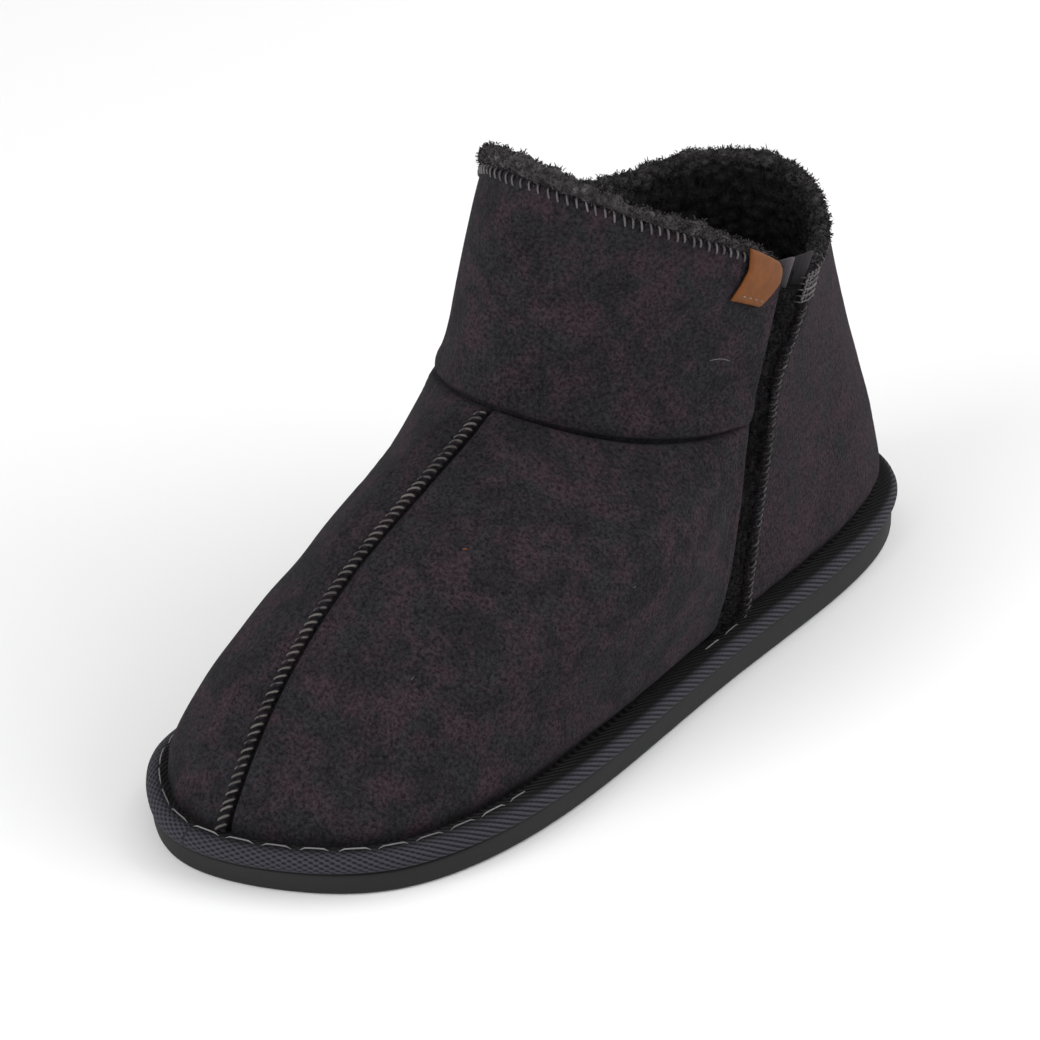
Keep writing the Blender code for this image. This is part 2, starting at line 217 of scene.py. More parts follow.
outline = outlineRing()
beadRing = offsetRing(outline, last["beadReach"])
middle = (beadRing.max(0) + beadRing.min(0)) / 2
footPlan = offsetRing(outline, -last["featherInset"])
foot = np.column_stack([footPlan, featherPlane(footPlan[:, 1])])
ankle = tableRing("ankle", "ankleWidth", "ankleLength", "instepHeight")
collar = tableRing("collar", "collarWidth", "collarLength", "collarHeight")
footRing = makeRing(foot, last["seamToe"], 1)
ankleRing = makeRing(ankle, last["seamAnkle"], 2)
collarRing = makeRing(collar, last["seamAnkle"], 3)


def skinGrid(station, rise, extra=0.0):
    # rows by rise from 0 at the platform over 1 at the ankle to 2, columns by station
    station = np.asarray(station, float)
    rise = np.asarray(rise, float)
    foot = ringAt(footRing, station, extra)
    ankle = ringAt(ankleRing, station, extra)
    collar = ringAt(collarRing, station, extra)
    table = np.array(last["ribs"])
    lean, footHandle, drop, headHandle = closedSpline(table[:, 0], table[:, 1:], 5, station).T
    lean = np.radians(lean)
    drop = np.radians(drop)
    into = -sideOf(alongAt(footRing, station, extra)) * (np.sin(lean) * footHandle)[:, None]
    out = sideOf(alongAt(ankleRing, station, extra)) * (np.cos(drop) * headHandle)[:, None]
    first = foot + np.column_stack([into, np.cos(lean) * footHandle])
    second = ankle + np.column_stack([out, -np.sin(drop) * headHandle])
    t = np.clip(rise, 0, 1)[:, None, None]
    left = 1 - t
    low = left ** 3 * foot + 3 * left ** 2 * t * first + 3 * left * t ** 2 * second + t ** 3 * ankle
    return low + (collar - ankle) * np.clip(rise - 1, 0, 1)[:, None, None]


def easeAnkle(grid, rise, reach=0.30):
    # one smooth run through the ankle where no seam crosses it
    low = np.searchsorted(rise, 1 - reach)
    high = np.searchsorted(rise, 1 + reach)
    start = grid[low]
    end = grid[high]
    startPull = (grid[low] - grid[low - 1]) / (rise[low] - rise[low - 1])
    endPull = (grid[high + 1] - grid[high]) / (rise[high + 1] - rise[high])
    span = rise[high] - rise[low]
    t = ((rise[low:high + 1] - rise[low]) / span)[:, None, None]
    ease = 3 * t ** 2 - 2 * t ** 3
    pull = (t ** 3 - 2 * t ** 2 + t) * startPull + (t ** 3 - t ** 2) * endPull
    grid[low:high + 1] = (1 - ease) * start + ease * end + span * pull
    return grid


def gridNormals(grid):
    along = np.gradient(grid, axis=1)
    up = np.gradient(grid, axis=0)
    out = np.cross(along, up)
    return out / np.maximum(np.linalg.norm(out, axis=-1), 1e-12)[..., None]


def runAlong(grid, axis):
    # distance along each row or column from its start
    steps = np.linalg.norm(np.diff(grid, axis=axis), axis=-1)
    start = np.zeros_like(np.take(steps, [0], axis))
    return np.concatenate([start, np.cumsum(steps, axis=axis)], axis=axis)


def cellHash(cell, seed):
    # one whole number for each cell of a grid, always the same
    mixed = (cell[..., 0] * 73856093) ^ (cell[..., 1] * 19349663) ^ (cell[..., 2] * 83492791) ^ seed
    return (mixed ^ (mixed >> 13)) * 1274126177 & 0xFFFFFFFF


def softNoise(points, size, seed=0):
    # smooth value noise from -1 to 1
    place = points / size + seed * 19.19
    cell = np.floor(place).astype(np.int64)
    part = place - cell
    part = part * part * (3 - 2 * part)
    total = np.zeros(points.shape[:-1])
    for corner in range(8):
        bits = np.array([corner & 1, corner >> 1 & 1, corner >> 2 & 1])
        mixed = cellHash(cell + bits, seed * 2654435761)
        value = ((mixed ^ (mixed >> 16)) & 0xFFFF) / 32767.5 - 1
        total += value * np.prod(np.where(bits, part, 1 - part), axis=-1)
    return total


def curlNoise(points, size, seed=0):
    # rounded bumps of one size, as curls of fleece: 1 at a curl's crown, 0 between curls
    place = points / size
    cell = np.floor(place).astype(np.int64)
    nearest = np.full(points.shape[:-1], 9.0)
    for step in itertools.product((-1, 0, 1), repeat=3):
        at = cell + np.array(step)
        mixed = cellHash(at, seed)
        spot = np.stack([(mixed >> shift & 0xFF) / 255 for shift in (3, 11, 19)], -1)
        nearest = np.minimum(nearest, np.linalg.norm(at + spot - place, axis=-1))
    return np.clip(1 - nearest, 0, 1)


def addMesh(name, points, faces, material, slot, replaced=(), uv=None, shade=None, sharp=None):
    mesh = bpy.data.meshes.new(name)
    mesh.from_pydata(points.reshape(-1, 3).tolist(), [], faces)
    if uv is not None:
        layer = mesh.uv_layers.new(name="wrap")
        corners = np.array([loop.vertex_index for loop in mesh.loops])
        layer.data.foreach_set("uv", uv.reshape(-1, 2)[corners].ravel())
    if shade is not None:
        layer = mesh.attributes.new("shade", "FLOAT", "POINT")
        layer.data.foreach_set("value", np.asarray(shade, np.float32).ravel())
    mesh.materials.append(material)
    mesh.shade_smooth()
    if sharp:
        mesh.set_sharp_from_angle(angle=math.radians(sharp))
    mesh.validate()
    piece = bpy.data.objects.new(name, mesh)
    bpy.context.scene.collection.objects.link(piece)
    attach(piece, "root")
    if replaced:
        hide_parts(*replaced)


def stripFaces(rows, columns, closed, offset=0, flip=False):
    # quads between rows of points
    faces = []
    used = columns if closed else columns - 1
    for row in range(rows - 1):
        low = offset + row * columns
        high = low + columns
        for i in range(used):
            j = (i + 1) % columns
            face = (low + i, low + j, high + j, high + i)
            faces.append(face[::-1] if flip else face)
    return faces


def wallFaces(rows, columns):
    # a closed wall between an outer and an inner open grid of the same size
    outer = stripFaces(rows, columns, False)
    count = rows * columns
    inner = stripFaces(rows, columns, False, count, True)
    rim = [(0, i) for i in range(columns)]
    rim += [(row, columns - 1) for row in range(1, rows)]
    rim += [(rows - 1, i) for i in range(columns - 2, -1, -1)]
    rim += [(row, 0) for row in range(rows - 2, 0, -1)]
    rim = [row * columns + i for row, i in rim]
    edge = []
    for i, here in enumerate(rim):
        there = rim[(i + 1) % len(rim)]
        edge.append((there, here, here + count, there + count))
    return outer + inner + edge


def ringWallFaces(rows, columns):
    # a closed wall between an outer and an inner grid of rings
    count = rows * columns
    outer = stripFaces(rows, columns, True)
    inner = stripFaces(rows, columns, True, count, True)
    edge = []
    for i in range(columns):
        j = (i + 1) % columns
        edge.append((j, i, count + i, count + j))
        top = (rows - 1) * columns
        edge.append((top + i, top + j, count + top + j, count + top + i))
    return outer + inner + edge


def loftFaces(rows, columns):
    # rings joined in turn and capped at both ends
    faces = stripFaces(rows, columns, True)
    faces.append(tuple(range(columns))[::-1])
    faces.append(tuple(range(columns * (rows - 1), columns * rows)))
    return faces


def addWall(name, outer, inner, material, slot, replaced=(), **marks):
    points = np.concatenate([outer.reshape(-1, 3), inner.reshape(-1, 3)])
    addMesh(name, points, wallFaces(*outer.shape[:2]), material, slot, replaced, **marks)


def addLoft(name, grid, material, slot, replaced=(), **marks):
    addMesh(name, grid, loftFaces(*grid.shape[:2]), material, slot, replaced, **marks)


class Threads:
    # stitches gathered into one mesh: each is a round thread along a few points
    def __init__(self, radius, sides=6):
        self.radius = radius
        self.sides = sides
        self.points = []
        self.faces = []
        self.shade = []

    def add(self, path, taper=0.45):
        path = np.asarray(path, float)
        along = np.gradient(path, axis=0)
        along /= np.linalg.norm(along, axis=1)[:, None]
        guide = np.array([0.13, 0.31, 0.94])
        first = np.cross(along, guide)
        first /= np.linalg.norm(first, axis=1)[:, None]
        second = np.cross(along, first)
        start = sum(len(ring) for ring in self.points)
        radii = np.full(len(path), self.radius)
        radii[[0, -1]] *= taper
        turns = np.linspace(0, 2 * math.pi, self.sides, endpoint=False)
        for point, one, two, radius in zip(path, first, second, radii):
            ring = np.outer(np.cos(turns), one) + np.outer(np.sin(turns), two)
            self.points.append(point + radius * ring)
        faces = loftFaces(len(path), self.sides)
        self.faces += [tuple(start + i for i in face) for face in faces]
        self.shade += [rng.uniform(0, 1)] * (len(path) * self.sides)

    def build(self, name, material, slot):
        addMesh(name, np.vstack(self.points), self.faces, material, slot, shade=self.shade)


# Materials
def newGroup(name, inputs, outputs):
    group = bpy.data.node_groups.new(name, "ShaderNodeTree")
    for label, kind, value in inputs:
        socket = group.interface.new_socket(name=label, in_out="INPUT", socket_type="NodeSocket" + kind)
        socket.default_value = value
    for label, kind in outputs:
        group.interface.new_socket(name=label, in_out="OUTPUT", socket_type="NodeSocket" + kind)
    return group, group.nodes.new("NodeGroupInput"), group.nodes.new("NodeGroupOutput")


def addNode(tree, kind, links=(), **values):
    # values are the node's own settings, or sockets with _ for each space
    node = tree.nodes.new("ShaderNode" + kind)
    for key, value in values.items():
        if hasattr(node, key):
            setattr(node, key, value)
        else:
            node.inputs[key.replace("_", " ")].default_value = value
    for socket, source in dict(links).items():
        tree.links.new(source, node.inputs[socket])
    return node


def addMath(tree, operation, *terms):
    node = addNode(tree, "Math", operation=operation)
    for i, term in enumerate(terms):
        if isinstance(term, float):
            node.inputs[i].default_value = term
        else:
            tree.links.new(term, node.inputs[i])
    return node.outputs[0]


def addRange(tree, source, **ends):
    return addNode(tree, "MapRange", {"Value": source}, **ends).outputs["Result"]


def addRamp(tree, source, low, high):
    # each end is a place and a colour
    ramp = addNode(tree, "ValToRGB", {"Fac": source})
    for element, (place, color) in zip(ramp.color_ramp.elements, (low, high)):
        element.position = place
        element.color = (*color, 1)
    return ramp.outputs["Color"]


def scaleColor(tree, color, factor):
    return addNode(tree, "VectorMath", {0: color, "Scale": factor}, operation="SCALE").outputs[0]


def shadeOf(tree):
    return addNode(tree, "Attribute", attribute_name="shade").outputs["Fac"]


def objectPlace(tree):
    return addNode(tree, "TexCoord").outputs["Object"]


def gray(value):
    return (value, value, value)


def makeMottle():
    # patches of two tints over a ground, broken up by fine nap, for a brushed cloth
    group, entry, leave = newGroup(
        "napMottle",
        [("Ground", "Color", (0.03, 0.03, 0.03, 1)), ("Warm", "Color", (0.04, 0.03, 0.03, 1)),
         ("Cool", "Color", (0.03, 0.03, 0.04, 1)), ("Patch Scale", "Float", 80.0),
         ("Nap Scale", "Float", 1200.0), ("Nap Low", "Float", 0.5), ("Nap High", "Float", 1.6)],
        [("Color", "Color"), ("Height", "Float")],
    )
    place = objectPlace(group)
    shifted = addNode(group, "VectorMath", {0: place}, operation="ADD")
    shifted.inputs[1].default_value = (3.1, 1.7, 5.3)
    patch = entry.outputs["Patch Scale"]
    tints = addNode(group, "TexNoise", {"Vector": place, "Scale": patch}, Detail=3.0, Roughness=0.58)
    tintMask = addRamp(group, tints.outputs["Fac"], (0.40, gray(0)), (0.58, gray(1)))
    tint = addNode(group, "Mix", {"Factor": tintMask, "A": entry.outputs["Cool"],
                                  "B": entry.outputs["Warm"]}, data_type="RGBA")
    grounds = addNode(group, "TexNoise", {"Vector": shifted.outputs[0], "Scale": patch}, Detail=4.0,
                      Roughness=0.60, Distortion=0.5)
    groundMask = addRamp(group, grounds.outputs["Fac"], (0.38, gray(0)), (0.56, gray(1)))
    blend = addNode(group, "Mix", {"Factor": groundMask, "A": entry.outputs["Ground"],
                                   "B": tint.outputs["Result"]}, data_type="RGBA")
    nap = addNode(group, "TexNoise", {"Vector": place, "Scale": entry.outputs["Nap Scale"]}, Detail=3.0,
                  Roughness=0.75)
    worn = addNode(group, "MapRange", {"Value": nap.outputs["Fac"], "To Min": entry.outputs["Nap Low"],
                                       "To Max": entry.outputs["Nap High"]}, From_Min=0.34, From_Max=0.66)
    color = scaleColor(group, blend.outputs["Result"], worn.outputs["Result"])
    group.links.new(color, leave.inputs["Color"])
    group.links.new(nap.outputs["Fac"], leave.inputs["Height"])
    return group


def makeTwill():
    # slanting ribs in the tape's own run, turned back below one height, from the wrap map in metres
    group, entry, leave = newGroup(
        "twillRibs",
        [("Pitch", "Float", 0.0036), ("Turn", "Float", 0.004), ("Slope", "Float", 1.9)],
        [("Rib", "Float"), ("Yarn", "Float")],
    )
    wrap = addNode(group, "UVMap", uv_map="wrap").outputs["UV"]
    split = addNode(group, "SeparateXYZ", {"Vector": wrap})
    over = addMath(group, "SUBTRACT", split.outputs["Y"], entry.outputs["Turn"])
    folded = addMath(group, "ABSOLUTE", over)
    tilted = addMath(group, "MULTIPLY_ADD", folded, entry.outputs["Slope"], split.outputs["X"])
    turns = addMath(group, "DIVIDE", tilted, entry.outputs["Pitch"])
    wave = addMath(group, "SINE", addMath(group, "MULTIPLY", turns, 2 * math.pi))
    stretched = addNode(group, "VectorMath", {0: wrap}, operation="MULTIPLY")
    stretched.inputs[1].default_value = (1400, 3000, 1)
    yarn = addNode(group, "TexNoise", {"Vector": stretched.outputs[0]}, Scale=1.0, Detail=3.0,
                   Roughness=0.6)
    group.links.new(addRange(group, wave, From_Min=-1), leave.inputs["Rib"])
    group.links.new(yarn.outputs["Fac"], leave.inputs["Yarn"])
    return group


def newMaterial(name, roughness, specular, sheen=0.0, sheenRoughness=0.5, sheenTint=(1, 1, 1)):
    material = bpy.data.materials.new(name)
    material.use_nodes = True
    surface = material.node_tree.nodes["Principled BSDF"]
    surface.inputs["Roughness"].default_value = roughness
    surface.inputs["Specular IOR Level"].default_value = specular
    surface.inputs["Sheen Weight"].default_value = sheen
    surface.inputs["Sheen Roughness"].default_value = sheenRoughness
    surface.inputs["Sheen Tint"].default_value = (*sheenTint, 1)
    return material, material.node_tree, surface


def placeGroup(tree, group, **values):
    node = tree.nodes.new("ShaderNodeGroup")
    node.node_tree = group
    for key, value in values.items():
        value = (*value, 1) if isinstance(value, tuple) else value
        node.inputs[key.replace("_", " ")].default_value = value
    return node


def finishSurface(tree, surface, color, height, distance):
    tree.links.new(color, surface.inputs["Base Color"])
    bump = addNode(tree, "Bump", {"Height": height}, Distance=distance)
    tree.links.new(bump.outputs["Normal"], surface.inputs["Normal"])


napMottle = makeMottle()
twillRibs = makeTwill()


def suedeMaterial(name, ground):
    look = {"warm": (0.0245, 0.0166, 0.0213), "cool": (0.0150, 0.0150, 0.0174), "patchScale": 88,
            "napScale": 950, "napLow": 0.36, "napHigh": 1.68, "bump": 0.00050}
    material, tree, surface = newMaterial(name, 1.0, 0.08, 0.01, 0.5, (0.9, 0.85, 0.95))
    nap = placeGroup(tree, napMottle, Ground=ground, Warm=look["warm"], Cool=look["cool"],
                     Patch_Scale=look["patchScale"], Nap_Scale=look["napScale"], Nap_Low=look["napLow"],
                     Nap_High=look["napHigh"])
    # painted shade: the nap colour is scaled by the mesh's shade attribute
    color = scaleColor(tree, nap.outputs["Color"], shadeOf(tree))
    finishSurface(tree, surface, color, nap.outputs["Height"], look["bump"])
    return material


def fleeceMaterial(name, deep, crown, sheen):
    material, tree, surface = newMaterial(name, 1.0, 0.1, sheen)
    # painted shade: the shade attribute runs from the deep colour in the pits to the crown colour on the
    # curls
    color = addRamp(tree, shadeOf(tree), (0.0, deep), (1.0, crown))
    nap = placeGroup(tree, napMottle, Ground=gray(1.0), Warm=gray(0.85), Cool=gray(1.1), Patch_Scale=170.0,
                     Nap_Scale=1300.0, Nap_Low=0.6, Nap_High=1.4)
    mixed = addNode(tree, "Mix", {"A": color, "B": nap.outputs["Color"]}, data_type="RGBA",
                    blend_type="MULTIPLY", Factor=1.0)
    finishSurface(tree, surface, mixed.outputs["Result"], nap.outputs["Height"], 0.0006)
    return material


def threadMaterial(name, dark, light):
    material, tree, surface = newMaterial(name, 0.8, 0.25, 0.05, 0.4)
    color = addRamp(tree, shadeOf(tree), (0.0, dark), (1.0, light))
    fiber = addNode(tree, "TexNoise", {"Vector": objectPlace(tree)}, Scale=2600.0, Detail=3.0)
    fiber = fiber.outputs["Fac"]
    worn = scaleColor(tree, color, addRange(tree, fiber, To_Min=0.5, To_Max=1.5))
    finishSurface(tree, surface, worn, fiber, 0.0001)
    return material


def twillMaterial():
    look = {"crown": (0.0400, 0.0385, 0.0480), "valley": (0.0090, 0.0086, 0.0115), "pitch": 0.0030,
            "turn": 0.0042, "slope": 1.9, "bump": 0.00035}
    material, tree, surface = newMaterial("twill", 0.9, 0.15, 0.02, 0.4)
    ribs = placeGroup(tree, twillRibs, Pitch=look["pitch"], Turn=look["turn"], Slope=look["slope"])
    cross = placeGroup(tree, twillRibs, Pitch=look["pitch"], Turn=look["turn"], Slope=-look["slope"])
    # the ribs cross in a net round the toe
    split = addNode(tree, "SeparateXYZ", {"Vector": objectPlace(tree)})
    toe = addRange(tree, split.outputs["Y"], From_Min=-0.105, From_Max=-0.145, To_Min=0.12, To_Max=0.50)
    net = addNode(tree, "Mix", {"Factor": toe, "A": ribs.outputs["Rib"], "B": cross.outputs["Rib"]})
    net = net.outputs["Result"]
    # painted shade in the rib valleys, the crowns lighter
    color = addRamp(tree, net, (0.20, look["valley"]), (0.65, look["crown"]))
    worn = scaleColor(tree, color, addRange(tree, ribs.outputs["Yarn"], To_Min=0.4, To_Max=1.6))
    height = addMath(tree, "MULTIPLY_ADD", ribs.outputs["Yarn"], 0.35, net)
    # painted shade from the platform's shade attribute
    finishSurface(tree, surface, scaleColor(tree, worn, shadeOf(tree)), height, look["bump"])
    return material


def rubberMaterial():
    material, tree, surface = newMaterial("rubber", 0.75, 0.2)
    place = objectPlace(tree)
    cloudy = addNode(tree, "TexNoise", {"Vector": place}, Scale=60.0, Detail=5.0, Roughness=0.6)
    cloudy = cloudy.outputs["Fac"]
    color = addRamp(tree, cloudy, (0.3, gray(0.0132)), (0.7, gray(0.0168)))
    gloss = addRamp(tree, cloudy, (0.3, gray(0.65)), (0.7, gray(0.80)))
    tree.links.new(gloss, surface.inputs["Roughness"])
    pores = addNode(tree, "TexNoise", {"Vector": place}, Scale=1600.0, Detail=4.0, Roughness=0.7)
    finishSurface(tree, surface, color, pores.outputs["Fac"], 0.00010)
    return material


def leatherMaterial():
    material, tree, surface = newMaterial("leather", 0.65, 0.25)
    place = objectPlace(tree)
    cloudy = addNode(tree, "TexNoise", {"Vector": place}, Scale=240.0, Detail=4.0, Roughness=0.6)
    color = addRamp(tree, cloudy.outputs["Fac"], (0.30, (0.106, 0.031, 0.0044)),
                    (0.70, (0.144, 0.0455, 0.0068)))
    pebble = addNode(tree, "TexVoronoi", {"Vector": place}, Scale=1900.0)
    finishSurface(tree, surface, color, pebble.outputs["Distance"], 0.00008)
    return material


def ribbonMaterial():
    material, tree, surface = newMaterial("ribbon", 0.7, 0.15, 0.02, 0.3)
    wrap = addNode(tree, "UVMap", uv_map="wrap").outputs["UV"]
    ribs = addNode(tree, "TexWave", {"Vector": wrap}, bands_direction="X", Scale=380.0, Distortion=0.4)
    # painted light: the shade attribute runs from the band's shaded troughs to its lit crest
    color = addRamp(tree, shadeOf(tree), (0.0, (0.012, 0.011, 0.012)), (1.0, (0.095, 0.080, 0.092)))
    finishSurface(tree, surface, color, ribs.outputs["Fac"], 0.00004)
    return material


suede = suedeMaterial("suede", (0.0122, 0.0114, 0.0134))
quarterSuede = suedeMaterial("quarterSuede", (0.0190, 0.0142, 0.0180))
# one fleece at four brightnesses: the back rim, the lining in the shaft and the gusset in the slit are
# darker copies, as painted shade
rollFleece = fleeceMaterial("rollFleece", (0.0045, 0.0042, 0.0045), (0.074, 0.066, 0.070), 0.04)
rimFleece = fleeceMaterial("rimFleece", (0.003, 0.003, 0.003), (0.056, 0.052, 0.054), 0.03)
liningFleece = fleeceMaterial("liningFleece", (0.0016, 0.0016, 0.0018), (0.034, 0.032, 0.034), 0.02)
gussetFleece = fleeceMaterial("gussetFleece", (0.0006, 0.0006, 0.0007), (0.0160, 0.0145, 0.0160), 0.0)
seamThread = threadMaterial("seamThread", (0.044, 0.040, 0.038), (0.104, 0.095, 0.088))
baseThread = threadMaterial("baseThread", (0.095, 0.090, 0.092), (0.165, 0.157, 0.160))
edgeThread = threadMaterial("edgeThread", (0.048, 0.044, 0.045), (0.118, 0.110, 0.110))
dullThread = threadMaterial("dullThread", (0.042, 0.038, 0.040), (0.092, 0.085, 0.088))
twill = twillMaterial()
rubber = rubberMaterial()
leather = leatherMaterial()
ribbon = ribbonMaterial()
print("materials made")


# Upper panels
upper = {
    "thick": 0.0030,
    "seamDip": 0.0004,
    "seamDipWidth": 0.0030,
    "grooveDepth": 0.0015,
    "grooveWidth": 0.0007,
    "grooveReach": 0.0019,
    "foldDip": 0.0020,
    "foldDipWidth": 0.0008,
    "puff": 0.0008,
    "puffReach": 0.006,
    "edgeRound": 0.0022,
    "rollUnder": 0.0026,
    "rollHeight": 0.0030,
    "shadeHeight": 0.0034,
    "wander": 0.0005,
    "gatherPitch": 0.0112,
    "gatherDepth": 0.00022,
    "gatherReach": 0.005,
    # where the roll under the upper starts to grow behind the toe, and how fast
    "toeEnd": -0.155,
    "toeFade": 0.055,
    # soft ridges over and under the ankle's fold: height, place and width
    "foldRidges": [(0.0007, 0.0040, 0.0030), (0.0003, -0.0045, 0.0035)],
    # how far from the inner seam the front panel's fold fades out
    "seamFade": 0.010,
    # how far the quarter's edge runs forward over the slit, and where that is most
    "creep": 0.0045,
    "creepFade": 0.012,
    "creepRise": 1.25,
    "creepSpan": 0.30,
}

# Soft folds placed one by one: from and to as station and rise, then width and depth in metres.
# A negative depth makes a ridge.
creases = [
    ((0.90, 0.92), (0.70, 0.62), 0.0070, 0.0007),
    ((0.55, 0.97), (0.40, 0.70), 0.0080, 0.0007),
    ((0.12, 0.90), (0.30, 0.70), 0.0080, 0.0006),
    ((0.10, 0.55), (0.55, 0.42), 0.0110, 0.0007),
    ((4.90, 0.55), (4.55, 0.42), 0.0110, 0.0007),
    ((4.88, 0.90), (4.68, 0.70), 0.0080, 0.0006),
    ((4.50, 0.97), (4.60, 0.68), 0.0080, 0.0008),
    ((4.15, 0.90), (4.38, 0.60), 0.0070, 0.0009),
    ((0.60, 1.25), (0.95, 1.10), 0.0090, 0.0006),
    ((4.85, 1.30), (4.30, 1.15), 0.0100, 0.0007),
    ((2.35, 0.15), (2.45, 0.85), 0.0080, 0.0007),
    ((2.75, 0.30), (2.80, 1.20), 0.0090, -0.0006),
    ((3.20, 0.30), (3.15, 1.20), 0.0090, 0.0006),
    ((3.55, 0.15), (3.50, 0.90), 0.0080, 0.0006),
]


def creaseLift(grid):
    lift = np.zeros(grid.shape[:2])
    for start, end, width, depth in creases:
        t = np.linspace(0, 1, 14)
        station = start[0] + (end[0] - start[0]) * t
        rise = start[1] + (end[1] - start[1]) * t + 0.03 * np.sin(t * math.pi)
        path = np.array([skinGrid([s], [r])[0, 0] for s, r in zip(station, rise)])
        away = np.full(grid.shape[:2], 1.0)
        share = np.zeros(grid.shape[:2])
        for point, place in zip(path, t):
            here = np.linalg.norm(grid - point, axis=-1)
            share = np.where(here < away, place, share)
            away = np.minimum(away, here)
        lift -= depth * np.exp(-(away / width) ** 2) * np.sin(np.clip(share, 0.03, 0.97) * math.pi) ** 0.5
    return lift


def slitCreep(rise):
    return upper["creep"] * np.exp(-((rise - upper["creepRise"]) / upper["creepSpan"]) ** 2)


def edgeRound(distance, reach):
    # 0 away from an edge, 1 at it, along a quarter circle
    left = np.clip(1 - distance / reach, 0, 1)
    return 1 - np.sqrt(1 - left ** 2)


def panelColumns(start, end, count, edge=0.0075, seam=None):
    # dense at the panel's edges and at its seam
    near = np.array([0.00, 0.12, 0.35, 0.7, 1.1, 1.6, 2.2, 3.0, 4.0, 5.2, 6.4]) / 1000
    columns = [(start, extra) for extra in near]
    inside = np.linspace(start, end, count + 2)[1:-1]
    clear = edge / 0.09
    kept = (inside > start + clear) & (inside < end - clear)
    if seam is not None:
        kept &= abs(inside - seam) > clear
    rest = [(place, 0.0) for place in inside[kept]]
    if seam is not None:
        fine = np.linspace(-edge, edge, 31)
        rest += [(seam, extra) for extra in fine]
        rest.sort(key=lambda column: column[0] + column[1] / 0.09)
    columns += rest
    columns += [(end, -extra) for extra in near[::-1]]
    return np.array(columns)


def panelRises(low, high):
    fold = np.linspace(-0.06, 0.06, 15)
    base = np.array([0, 0.004, 0.010, 0.018, 0.03])
    rises = np.concatenate([base, np.linspace(0.045, 0.93, low), 1 + fold, np.linspace(1.08, 1.93, high),
                            [1.95, 1.965, 1.978, 1.988, 1.995, 2.0]])
    return rises


def buildPanel(name, start, end, count, low, high, seam, material):
    # the quarter has no seam and no fold at the ankle
    smooth = seam is None
    columns = panelColumns(start, end, count, seam=seam)
    rises = panelRises(low, high)
    grid = skinGrid(columns[:, 0], rises, columns[:, 1])
    if smooth:
        grid = easeAnkle(grid, rises)
        fade = np.exp(-(runAlong(grid, 1) / upper["creepFade"]) ** 2)
        along = np.gradient(grid, axis=1)
        along /= np.linalg.norm(along, axis=-1)[..., None]
        grid = grid - along * (slitCreep(rises)[:, None] * fade)[..., None]
    else:
        # the inner seam meets the quarter, which has no fold
        nearSeam = np.exp(-(runAlong(grid, 1) / upper["seamFade"]) ** 2)[..., None]
        grid = grid + (easeAnkle(grid.copy(), rises) - grid) * nearSeam
    normals = gridNormals(grid)
    across = runAlong(grid, 1)
    up = runAlong(grid, 0)
    fromSide = np.minimum(across, across[:, -1:] - across)
    edges = np.minimum(fromSide, up[-1:] - up)
    lift = creaseLift(grid)
    lift += upper["wander"] * (softNoise(grid, 0.034, 3) + 0.35 * softNoise(grid, 0.011, 4))
    lift += upper["puff"] * (0.4 - np.exp(-np.minimum(edges, up + 0.002) / upper["puffReach"]))
    side = 1 - np.exp(-((grid[..., 1] - upper["toeEnd"]) / upper["toeFade"]) ** 2)
    lift -= upper["rollUnder"] * (0.50 + 0.50 * side) * np.exp(-(up / upper["rollHeight"]) ** 2)
    gather = np.cos(across / upper["gatherPitch"] * 2 * math.pi) * np.exp(-up / upper["gatherReach"])
    lift += upper["gatherDepth"] * gather
    # painted shade: the suede darkens toward its foot, where it rolls under over the tape, more on the
    # sides than at the toe
    shade = 1 - 0.9 * np.exp(-(up / upper["shadeHeight"]) ** 2) * (0.7 + 0.3 * side)
    if not smooth:
        fromFold = up - up[np.argmin(abs(rises - 1))]
        fold = np.exp(-(fromFold / upper["foldDipWidth"]) ** 2) * (1 - np.exp(-(fromSide / 0.005) ** 2))
        lift -= upper["foldDip"] * fold
        # painted shade in the ankle fold
        shade *= 1 - 0.6 * fold
        for height, place, width in upper["foldRidges"]:
            lift += height * np.exp(-((fromFold - place) / width) ** 2)
    if seam is not None:
        centre = np.argmin(abs(columns[:, 0] - seam) + abs(columns[:, 1]))
        fromSeam = across - across[:, centre:centre + 1]
        vamp = (rises < 1.0)[:, None]
        groove = np.exp(-((fromSeam - upper["grooveReach"]) / upper["grooveWidth"]) ** 2) * vamp
        dip = np.exp(-(fromSeam / upper["seamDipWidth"]) ** 2) * vamp
        lift -= upper["seamDip"] * dip + upper["grooveDepth"] * groove
        # painted shade in the groove beside the seam
        shade *= 1 - 0.8 * groove
    half = upper["thick"] / 2
    close = edgeRound(edges, upper["edgeRound"])
    outer = grid + normals * (lift - half * close)[..., None]
    inner = grid + normals * (np.minimum(lift, 0) * 0.5 - 2 * half + half * close)[..., None]
    print(name, grid.shape)
    addWall(name, outer, inner, material, "suede", ("upper",), shade=[shade, shade])


buildPanel("vampAndFront", 4.0, 6.0, 215, 92, 46, 5.0, suede)
buildPanel("heelQuarter", 2.0, 4.0, 130, 70, 40, None, quarterSuede)


def surfacePoint(station, rise, extra=0.0, lift=0.0):
    # a point over the skin, with the direction out, along and up
    rises = [max(rise - 0.01, 0), rise, min(rise + 0.01, 2)]
    shifts = extra + np.array([-0.001, 0, 0.001])
    patch = np.stack([skinGrid([station], rises, np.array([shift]))[:, 0] for shift in shifts], 1)
    along = patch[1, 2] - patch[1, 0]
    up = patch[2, 1] - patch[0, 1]
    along /= np.linalg.norm(along)
    out = np.cross(along, up)
    out /= np.linalg.norm(out)
    up = np.cross(out, along)
    return patch[1, 1] + out * lift, out, along, up
